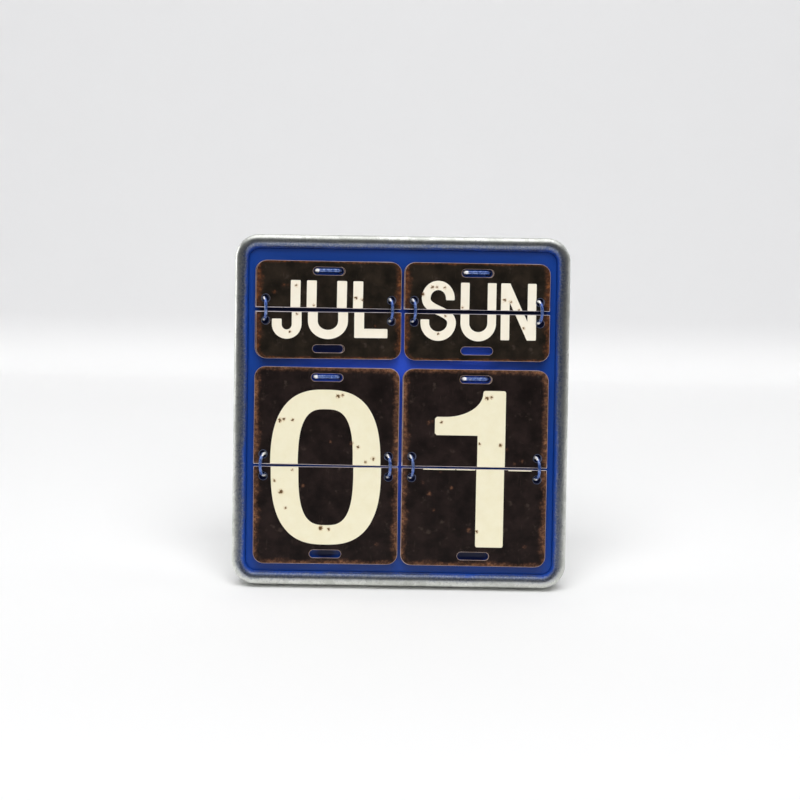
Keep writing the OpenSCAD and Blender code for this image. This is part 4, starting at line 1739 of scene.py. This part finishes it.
@dataclass(frozen=True)
class Wires:
    """The two loops and the keeper of a pack: round wire, with its feet clinched behind the panel.

    A loop's legs stand back from the plates' holes by the share that its lean takes up.
    """

    pack: Pack
    sides: tuple[str, str] = ("left", "right")
    loop_r: float = HOLE_Z
    loop_wire: float = 0.8
    loop_front: float = -5.8
    loop_feet: Pair = (5.45, 5.6)
    loop_bend: float = 1.6
    loop_bore: float = 1.2
    hang: float = 0.35
    lean: float = math.radians(14)
    lean_share: float = 1.35
    keeper_half: float = 6.0
    keeper_wire: float = 0.9
    keeper_front: float = -0.625
    keeper_feet: Pair = (5.55, 5.8)
    keeper_bend: float = 1.8
    keeper_bore: float = 1.3

    @property
    def loop_z(self) -> float:
        """Height of the loops' middles."""
        return self.pack.axis_z + self.hang

    @property
    def keeper_z(self) -> float:
        """Height of the keeper."""
        return self.loop_z + self.pack.split / 2 + self.pack.half_h - SLOT_INSET

    def leg_x(self, s: int) -> float:
        """Where the legs of the left loop, 0, or of the right one, 1, stand in the panel."""
        return self.pack.x + (2 * s - 1) * HOLE_X - self.pack.lean_signs[s] * self.lean_share

    def leg_holes(self) -> list[Outline]:
        """The panel's holes for the legs, with play all round.

        Returns:
            Their outlines: four for the loops and two for the keeper.
        """
        r, half = self.loop_r, self.keeper_half
        legs = [(self.leg_x(s), self.loop_z + z, self.loop_bore) for s in (0, 1) for z in (-r, r)]
        legs += [(self.pack.x + x, self.keeper_z, self.keeper_bore) for x in (-half, half)]
        return [Outline.disc(*leg) for leg in legs]

    def build_loop(self, s: int, finish: Material) -> None:
        """Builds a loop: a half circle between two legs, which leans to one side about its legs' place.

        With a the distance ahead of the panel, a point moves to x - a*sin(lean) and PANEL_Y + a*cos(lean).

        Args:
            s: 0 for the left loop, 1 for the right one.
            finish: the material.
        """
        (foot, reach), r, front = self.loop_feet, self.loop_r, self.loop_front
        half = [(0, foot, -r - reach), (0, foot, -r), (0, front, -r)]
        outline = np.array(half + [(x, y, -z) for x, y, z in reversed(half)], float)
        path = filleted(outline, np.array([self.loop_bend, r, r, self.loop_bend]), 18)
        lean = self.lean * self.pack.lean_signs[s]
        away = path[:, 1] - PANEL_Y
        across, depth = self.leg_x(s) - away * math.sin(lean), PANEL_Y + away * math.cos(lean)
        placed = np.stack([across, depth, path[:, 2] + self.loop_z], 1)
        shape = Shape()
        wire(shape, placed, self.loop_wire, np.array([math.cos(lean), math.sin(lean), 0.0]))
        node = f"loop_{self.pack.name}_{self.sides[s]}"
        shape.piece("wire_" + node, [finish], Body.CASE.value, [node], "blue_wire")

    def build_keeper(self, finish: Material) -> None:
        """Builds the keeper: a staple through the slots of the standing plates.

        Args:
            finish: the material.
        """
        (foot, reach), x, front = self.keeper_feet, self.keeper_half, self.keeper_front
        half = [(-x - reach, foot, 0), (-x, foot, 0), (-x, front, 0)]
        outline = np.array(half + [(-x, y, z) for x, y, z in reversed(half)], float)
        path = filleted(outline, np.full(4, self.keeper_bend), 12)
        shape = Shape()
        placed = path + np.array([self.pack.x, 0, self.keeper_z])
        wire(shape, placed, self.keeper_wire, np.array([0.0, 0.0, 1.0]))
        node = f"keeper_{self.pack.name}"
        shape.piece("wire_" + node, [finish], Body.CASE.value, [node], "blue_wire")

    def build(self, finish: Material) -> None:
        """Builds both loops and the keeper.

        Args:
            finish: the material.
        """
        for s in (0, 1):
            self.build_loop(s, finish)
        self.build_keeper(finish)


# ---- strut ----


@dataclass(frozen=True)
class EaselStrut:
    """The folding strut with its bracket, pin and rivets.

    Heights on the strut run from the pin's axis, and depths on the bracket and rivets from the case's crest.
    """

    open_angle: float = math.radians(22.5)
    half_w: float = 17.0
    neck: float = 14.0
    shoulder: float = -6.0
    tail: float = 6.537
    length: float = 98.639
    sheet: float = 1.2
    knuckle: float = 2.65
    bore: float = 1.55
    foot_r: float = 1.6
    flange: float = 4.0
    rib_r: float = 2.4
    rib_ends: Pair = (14.0, 16.0)
    base: Pair = (23.1, 8.0)
    base_y: float = 15.4
    ear: Triple = (15.6, 25.35, 4.0)
    ear_x: float = 14.1
    gauge: float = 1.0
    bend: float = 1.3
    pin_r: float = 1.5
    head: Pair = (2.5, 1.2)
    rivet_at: Pair = (19.6, 4.5)
    rivet_r: float = 2.2
    rivet_ball: float = 2.92

    def plane(self) -> Placement:
        """The strut's own plane through the pin: u along the pin, v up the strut and w behind it."""
        cos, sin = math.cos(self.open_angle), math.sin(self.open_angle)
        return Placement((0, PIN_Y, PIN_Z), (1, 0, 0), (0, -sin, cos), (0, cos, sin))

    def rib(self, shape: Shape) -> None:
        """The pressed rib: a dome over a slot-shaped foot, h = sqrt(r^2 - d^2) over the rib's middle line.

        Rows run from the foot's edge to the middle line by the share p, and columns round the slot.

        Args:
            shape: the mesh in the making.
        """
        foot = math.sqrt(self.rib_r**2 - self.sheet**2)
        top, bottom = -self.rib_ends[0], self.rib_ends[1] - self.length
        ring = Outline.box((-foot, bottom - foot), (foot, top + foot), foot, 14).ring(0)
        line = np.clip(ring[:, 1], bottom, top)
        rows = [self.plane().place(ring, self.sheet - self.knuckle - 0.2)]
        for p in np.sin(np.linspace(0, math.pi / 2, 10)):
            flat = np.stack([ring[:, 0] * (1 - p), line + (ring[:, 1] - line) * (1 - p)], 1)
            height = math.sqrt(self.rib_r**2 - (foot * (1 - p)) ** 2) - self.knuckle
            rows.append(self.plane().place(flat, height))
        shape.add_grid(np.stack(rows))

    def side_flange(self, shape: Shape, side: int) -> None:
        """One folded side flange: an upright strip with rounded free edge along the strut.

        Args:
            shape: the mesh in the making.
            side: -1 for left and 1 for right.
        """
        strut = self.plane()
        x = self.half_w - self.sheet if side > 0 else -self.half_w
        upright = Placement((x, PIN_Y, PIN_Z), strut.w, strut.v, (1, 0, 0))
        low, high = (0.1 - self.knuckle, 8.0 - self.length), (self.flange - self.knuckle, self.shoulder)
        outline = Outline((low, (high[0], low[1]), high, (low[0], high[1])), (0.7, 2.4, 2.4, 0.7), 10)
        sheet_part(shape, outline, [], upright, self.sheet, 0.35)

    def build(self, finish: Material) -> None:
        """Builds the strut as one piece: sheet, flanges, rib, knuckle and rolled foot.

        Args:
            finish: the material.
        """
        shape, low, w, neck, step = Shape(), -self.length, self.half_w, self.neck, self.shoulder
        right = ((w, low), (w, step), (neck, step), (neck, self.tail))
        corners = ((-w, low), *right, *((-x, z) for x, z in right[:0:-1]))
        plane = self.plane()
        origin, up, behind = np.array(plane.origin), np.array(plane.v), np.array(plane.w)
        front = Placement(tuple(origin - self.knuckle * behind), plane.u, plane.v, plane.w)
        radii = (0.6, 0.6, 1.2, 1.0, 1.5, 1.5, 1.0, 1.2)
        sheet_part(shape, Outline(corners, radii, 8), [], front, self.sheet, 0.3)
        for side in (-1, 1):
            self.side_flange(shape, side)
        self.rib(shape)
        r, round_r = self.knuckle, self.knuckle - 0.25
        half = [(r, neck - 0.25), (round_r, neck), (self.bore, neck)]
        ends = np.array([(x, -z) for x, z in half[::-1]] + half + [(self.bore, -neck)])
        turned(shape, Placement(plane.origin, plane.v, plane.w, plane.u), ends, 40)
        foot_at = origin + up * low + behind * (self.foot_r - self.knuckle)
        half = [(self.foot_r, w - 0.35), (self.foot_r - 0.35, w), (0, w)]
        rod = np.array([(x, -z) for x, z in half[::-1]] + half)
        turned(shape, Placement(tuple(foot_at), plane.v, plane.w, plane.u), rod, 32)
        shape.piece("easel_strut", [finish], Body.STRUT.value, ["strut"], "zinc_plated_steel")

    def build_bracket(self, finish: Material) -> None:
        """Builds the bracket: a base sheet on the back plate and two ears with a bend at their feet.

        Args:
            finish: the material.
        """
        shape = Shape()
        (x, z), (near, far, tall) = self.base, self.ear
        base = Outline.box((-x, PIN_Z - z), (x, PIN_Z + z), 2.0)
        sheet_part(shape, base, [], Placement((0, self.base_y, 0)), self.gauge, 0.25)
        low, high = PIN_Z - tall, PIN_Z + tall
        ear = Outline(((near, low), (far, low), (far, high), (near, high)), (0.4, 3.98, 3.98, 0.4), 14)
        arc = superellipse((self.bend, self.bend), (self.bend, self.bend), span=(270, 180), count=9)
        bend = np.concatenate([[(0.0, 0.0)], arc])
        outside = self.ear_x + self.gauge
        for side in (-1, 1):
            at = (self.ear_x if side > 0 else -outside, 0, 0)
            sheet_part(shape, ear, [], Placement(at, (0, 1, 0), (0, 0, 1), (1, 0, 0)), self.gauge, 0.3)
            corner = np.array([side * outside, self.base_y + self.gauge - 0.02, 0.0])
            flat = np.stack([side * bend[:, 0], bend[:, 1], np.zeros(len(bend))], 1) + corner
            rows = [flat + np.array([0, 0, z]) for z in (low + 0.3, high - 0.3)]
            middle = [np.repeat(row.mean(0)[None], len(row), 0) for row in rows]
            shape.add_grid(np.stack([middle[0], *rows, middle[1]]))
        shape.piece("strut_bracket", [finish], Body.CASE.value, ["bracket"], "zinc_plated_steel")

    def build_pin(self, finish: Material) -> None:
        """Builds the headed pin as a turned part, from its middle to a head with a rounded edge.

        Args:
            finish: the material.
        """
        head_r, head_t = self.head
        face = self.ear_x + self.gauge + 0.05
        t = np.linspace(0, math.pi / 2, 7)
        rim = np.stack([head_r - 0.4 + 0.4 * np.cos(t), face + 0.85 + 0.35 * np.sin(t)], 1)
        start = [(self.pin_r, 0.0), (self.pin_r, face), (head_r - 0.2, face), (head_r, face + 0.2)]
        half = np.concatenate([start, rim, [(0.0, face + head_t)]])
        profile = np.concatenate([half[:0:-1] * np.array([1, -1]), half[1:]])
        shape = Shape()
        turned(shape, Placement((0, PIN_Y, PIN_Z), (0, 1, 0), (0, 0, 1), (1, 0, 0)), profile, 36)
        shape.piece("headed_pin", [finish], Body.CASE.value, ["hinge_pin"], "zinc_plated_steel")

    def build_rivets(self, finish: Material) -> None:
        """Builds the four rivets as turned parts, with a domed head on the bracket and a flat one inside.

        Args:
            finish: the material.
        """
        r, ball = self.rivet_r, self.rivet_ball
        angles = np.linspace(math.asin(r / ball), 0, 8)
        dome = np.stack([ball * np.sin(angles), 2.7 - ball + ball * np.cos(angles)], 1)
        shank = [(0, -0.55), (r, -0.55), (r, -0.05), (1.2, -0.05), (1.2, 1.72), (r - 0.1, 1.72)]
        for i in range(1, 5):
            x = self.rivet_at[0] * (-1 if i % 2 else 1)
            z = PIN_Z + self.rivet_at[1] * (-1 if i < 3 else 1)
            shape = Shape()
            turned(shape, Placement((x, BACK_Y, z)), np.concatenate([shank, dome]), 28)
            shape.piece(f"domed_rivet_{i}", [finish], Body.CASE.value, [f"rivet_{i}"], "rivet_steel")


# ---- stage ----


@dataclass(frozen=True)
class Lamp:
    """A soft square lamp that points at the calendar: its place and size in metres, its power in watts."""

    name: str
    place: Triple
    size: Pair
    power: float
    light: Light
    aim: Triple = (0, 0, 0.08)

    def build(self) -> None:
        """Hangs the lamp; it is either only mirrored in gloss or only lights the scene."""
        data = bpy.data.lights.new(self.name, "AREA")
        data.shape, data.size, data.size_y, data.energy = "RECTANGLE", *self.size, self.power
        lamp = bpy.data.objects.new(self.name, data)
        lamp.location = self.place
        lamp.rotation_euler = (Vector(self.aim) - Vector(self.place)).to_track_quat("-Z", "Y").to_euler()
        lamp.visible_glossy = self.light is Light.MIRRORED
        lamp.visible_diffuse = self.light is Light.SOFT
        bpy.context.scene.collection.objects.link(lamp)


@dataclass(frozen=True)
class Studio:
    """The camera, the lamps, the world and the pale sweep that the calendar stands on."""

    lens: float = 78.75
    sensor: float = 36.0
    pitch: float = math.radians(2.009)
    yaw: float = math.radians(0.386)
    roll: float = math.radians(0.867)
    offset: Triple = (0.2986, 7.2713, 902.27)
    aim_z: float = 89.45
    lamps: tuple[Lamp, ...] = (
        Lamp("key_softbox", (0.0, -1.2, 2.0), (2.0, 1.2), 42.0, Light.SOFT),
        Lamp("front_fill", (0.0, -1.9, 1.0), (1.8, 1.0), 11.5, Light.SOFT),
        Lamp("back_light", (0.0, 0.15, 1.3), (2.0, 0.4), 3.8, Light.SOFT),
        Lamp("overhead_softbox", (0, 0.1, 1.0), (1.3, 0.9), 4.0, Light.MIRRORED),
        Lamp("left_window", (-0.95, 0.35, 0.3), (0.3, 0.5), 2.0, Light.MIRRORED),
    )
    near_edge: float = -0.55
    reach: float = 0.57
    bend: float = 0.05
    wall_top: float = 0.45
    half_width: float = 1.4

    def camera(self) -> None:
        """Places the camera from the turn and the offset that bring face points into its own axes.

        A face point p becomes Rz(roll)*Rx(pitch)*Ry(yaw)*(x, aim-z, y) + offset, with x right, y down and z
        ahead. The camera's place is where that is zero.
        """
        turn = Matrix.Rotation(self.roll, 3, "Z") @ Matrix.Rotation(self.pitch, 3, "X")
        turn = turn @ Matrix.Rotation(self.yaw, 3, "Y") @ Matrix(((1, 0, 0), (0, 0, -1), (0, 1, 0)))
        back = np.array(turn.transposed())
        place = np.array([0, 0, self.aim_z]) - back @ np.array(self.offset)
        axes = FACE.to_row(np.stack([place, place + back[:, 0], place - back[:, 1], place - back[:, 2]]))
        right, up, behind = unit(axes[1:] - axes[0])
        data = bpy.data.cameras.new("camera")
        data.lens, data.sensor_width, data.clip_start = self.lens, self.sensor, 0.01
        camera = bpy.data.objects.new("camera", data)
        matrix = Matrix.Identity(4)
        for column, axis in enumerate((right, up, behind, axes[0])):
            matrix.col[column][:3] = axis
        camera.matrix_world = matrix
        bpy.context.scene.collection.objects.link(camera)
        bpy.context.scene.camera = camera

    def room(self) -> None:
        """Lights the world as a room that is bright overhead and behind, and dim for soft light."""
        world = bpy.data.worlds.new("studio")
        bpy.context.scene.world = world
        world.use_nodes = True
        world.node_tree.nodes.clear()
        node = partial(add, world.node_tree)
        way = node("TexCoord", out="Generated")
        along, up = (node("SeparateXYZ", way, out=axis) for axis in "YZ")
        around = node("MapRange", along, -0.85, 0.95, 0.07, 0.8)
        above = node("MapRange", up, 0.6, 0.95, 0.0, 0.8)
        seen = node("Math MULTIPLY", node("LightPath", out="Is Camera Ray"), 0.84)
        softly = node("Math MULTIPLY", node("LightPath", out="Is Diffuse Ray"), 0.7)
        strength = node("Math MAXIMUM", node("Math MAXIMUM", around, above), seen)
        share = node("Math SUBTRACT", 1.0, softly)
        strength = node("Math MULTIPLY", strength, share)
        node("OutputWorld", node("Background", "#f7f8fa", strength))

    def paper(self, node: Nodes) -> Look:
        """Pale paper with painted shade: a little darker up the wall, and on the table towards its near and
        far ends.

        Args:
            node: adds a node to the material.

        Returns:
            The shader's inputs.
        """
        spot = node("TexCoord", out="Object")
        along, up = (node("SeparateXYZ", spot, out=axis) for axis in "YZ")
        table = node("Mix", node("MapRange", along, -0.2, 0.1), "#f4f4f4", "#fafafa")
        table = node("Mix", node("MapRange", along, 0.3, 0.55), table, "#f6f6f6")
        wall = node("MapRange", up, 0.002, 0.05)
        return {"Base Color": node("Mix", wall, table, "#e7e7e8"), "Roughness": 0.9}

    def sweep(self) -> None:
        """Makes the table and the wall behind it in one grid: flat, then a tight quarter circle up."""
        t = np.linspace(0, math.pi / 2, 24)
        corner = np.stack([self.reach + self.bend * np.sin(t), self.bend - self.bend * np.cos(t)], 1)
        near, top = [(self.near_edge, 0.0)], [(self.reach + self.bend, self.wall_top)]
        profile = np.concatenate([near, corner, top])
        across = np.linspace(-self.half_width, self.half_width, 9)
        points = np.stack([np.stack([np.full(len(profile), x), *profile.T], 1) for x in across])
        mesh = bpy.data.meshes.new("floor")
        faces = grid(len(across), len(profile), 0, False, False)
        mesh.from_pydata(points.reshape(-1, 3).tolist(), [], faces.tolist())
        mesh.polygons.foreach_set("use_smooth", np.ones(len(mesh.polygons), bool))
        mesh.materials.append(dressed("studio_paper", self.paper))
        floor = bpy.data.objects.new("floor", mesh)
        bpy.context.scene.collection.objects.link(floor)

    def build(self) -> None:
        """Sets up everything around the calendar."""
        bpy.context.scene.view_settings.view_transform = "Standard"
        self.camera()
        for lamp in self.lamps:
            lamp.build()
        self.room()
        self.sweep()


def main() -> None:
    """Builds the studio and the calendar, sub-assembly by sub-assembly."""
    logging.basicConfig(level=logging.INFO, format="%(message)s")
    Studio().build()
    zinc = dressed(GalvanisedSteel.name, GalvanisedSteel().look)
    coat = dressed(EnamelledWire.name, EnamelledWire().look)
    sets = [Wires(pack) for pack in PACKS]
    case = Case()
    case.build_rim(zinc)
    case.build_back(zinc)
    enamel = dressed(StoveEnamel.name, StoveEnamel().look)
    case.build_panel(enamel, [hole for wires in sets for hole in wires.leg_holes()])
    cut = dressed(CutTinplate.name, CutTinplate().look)
    for pack, tin, wires in zip(PACKS, (SMALL_TIN, SMALL_TIN, LARGE_TIN, LARGE_TIN), sets):
        pack.build(tin, cut)
        wires.build(coat)
    plate, rivet = ZincPlate(), ZincPlate("bright_rivet_steel", "#c0c2c3", "#a5a8a9")
    plated = dressed(plate.name, plate.look)
    strut = EaselStrut()
    strut.build(plated)
    strut.build_bracket(plated)
    strut.build_pin(plated)
    strut.build_rivets(dressed(rivet.name, rivet.look))


if __name__ == "__main__":
    main()
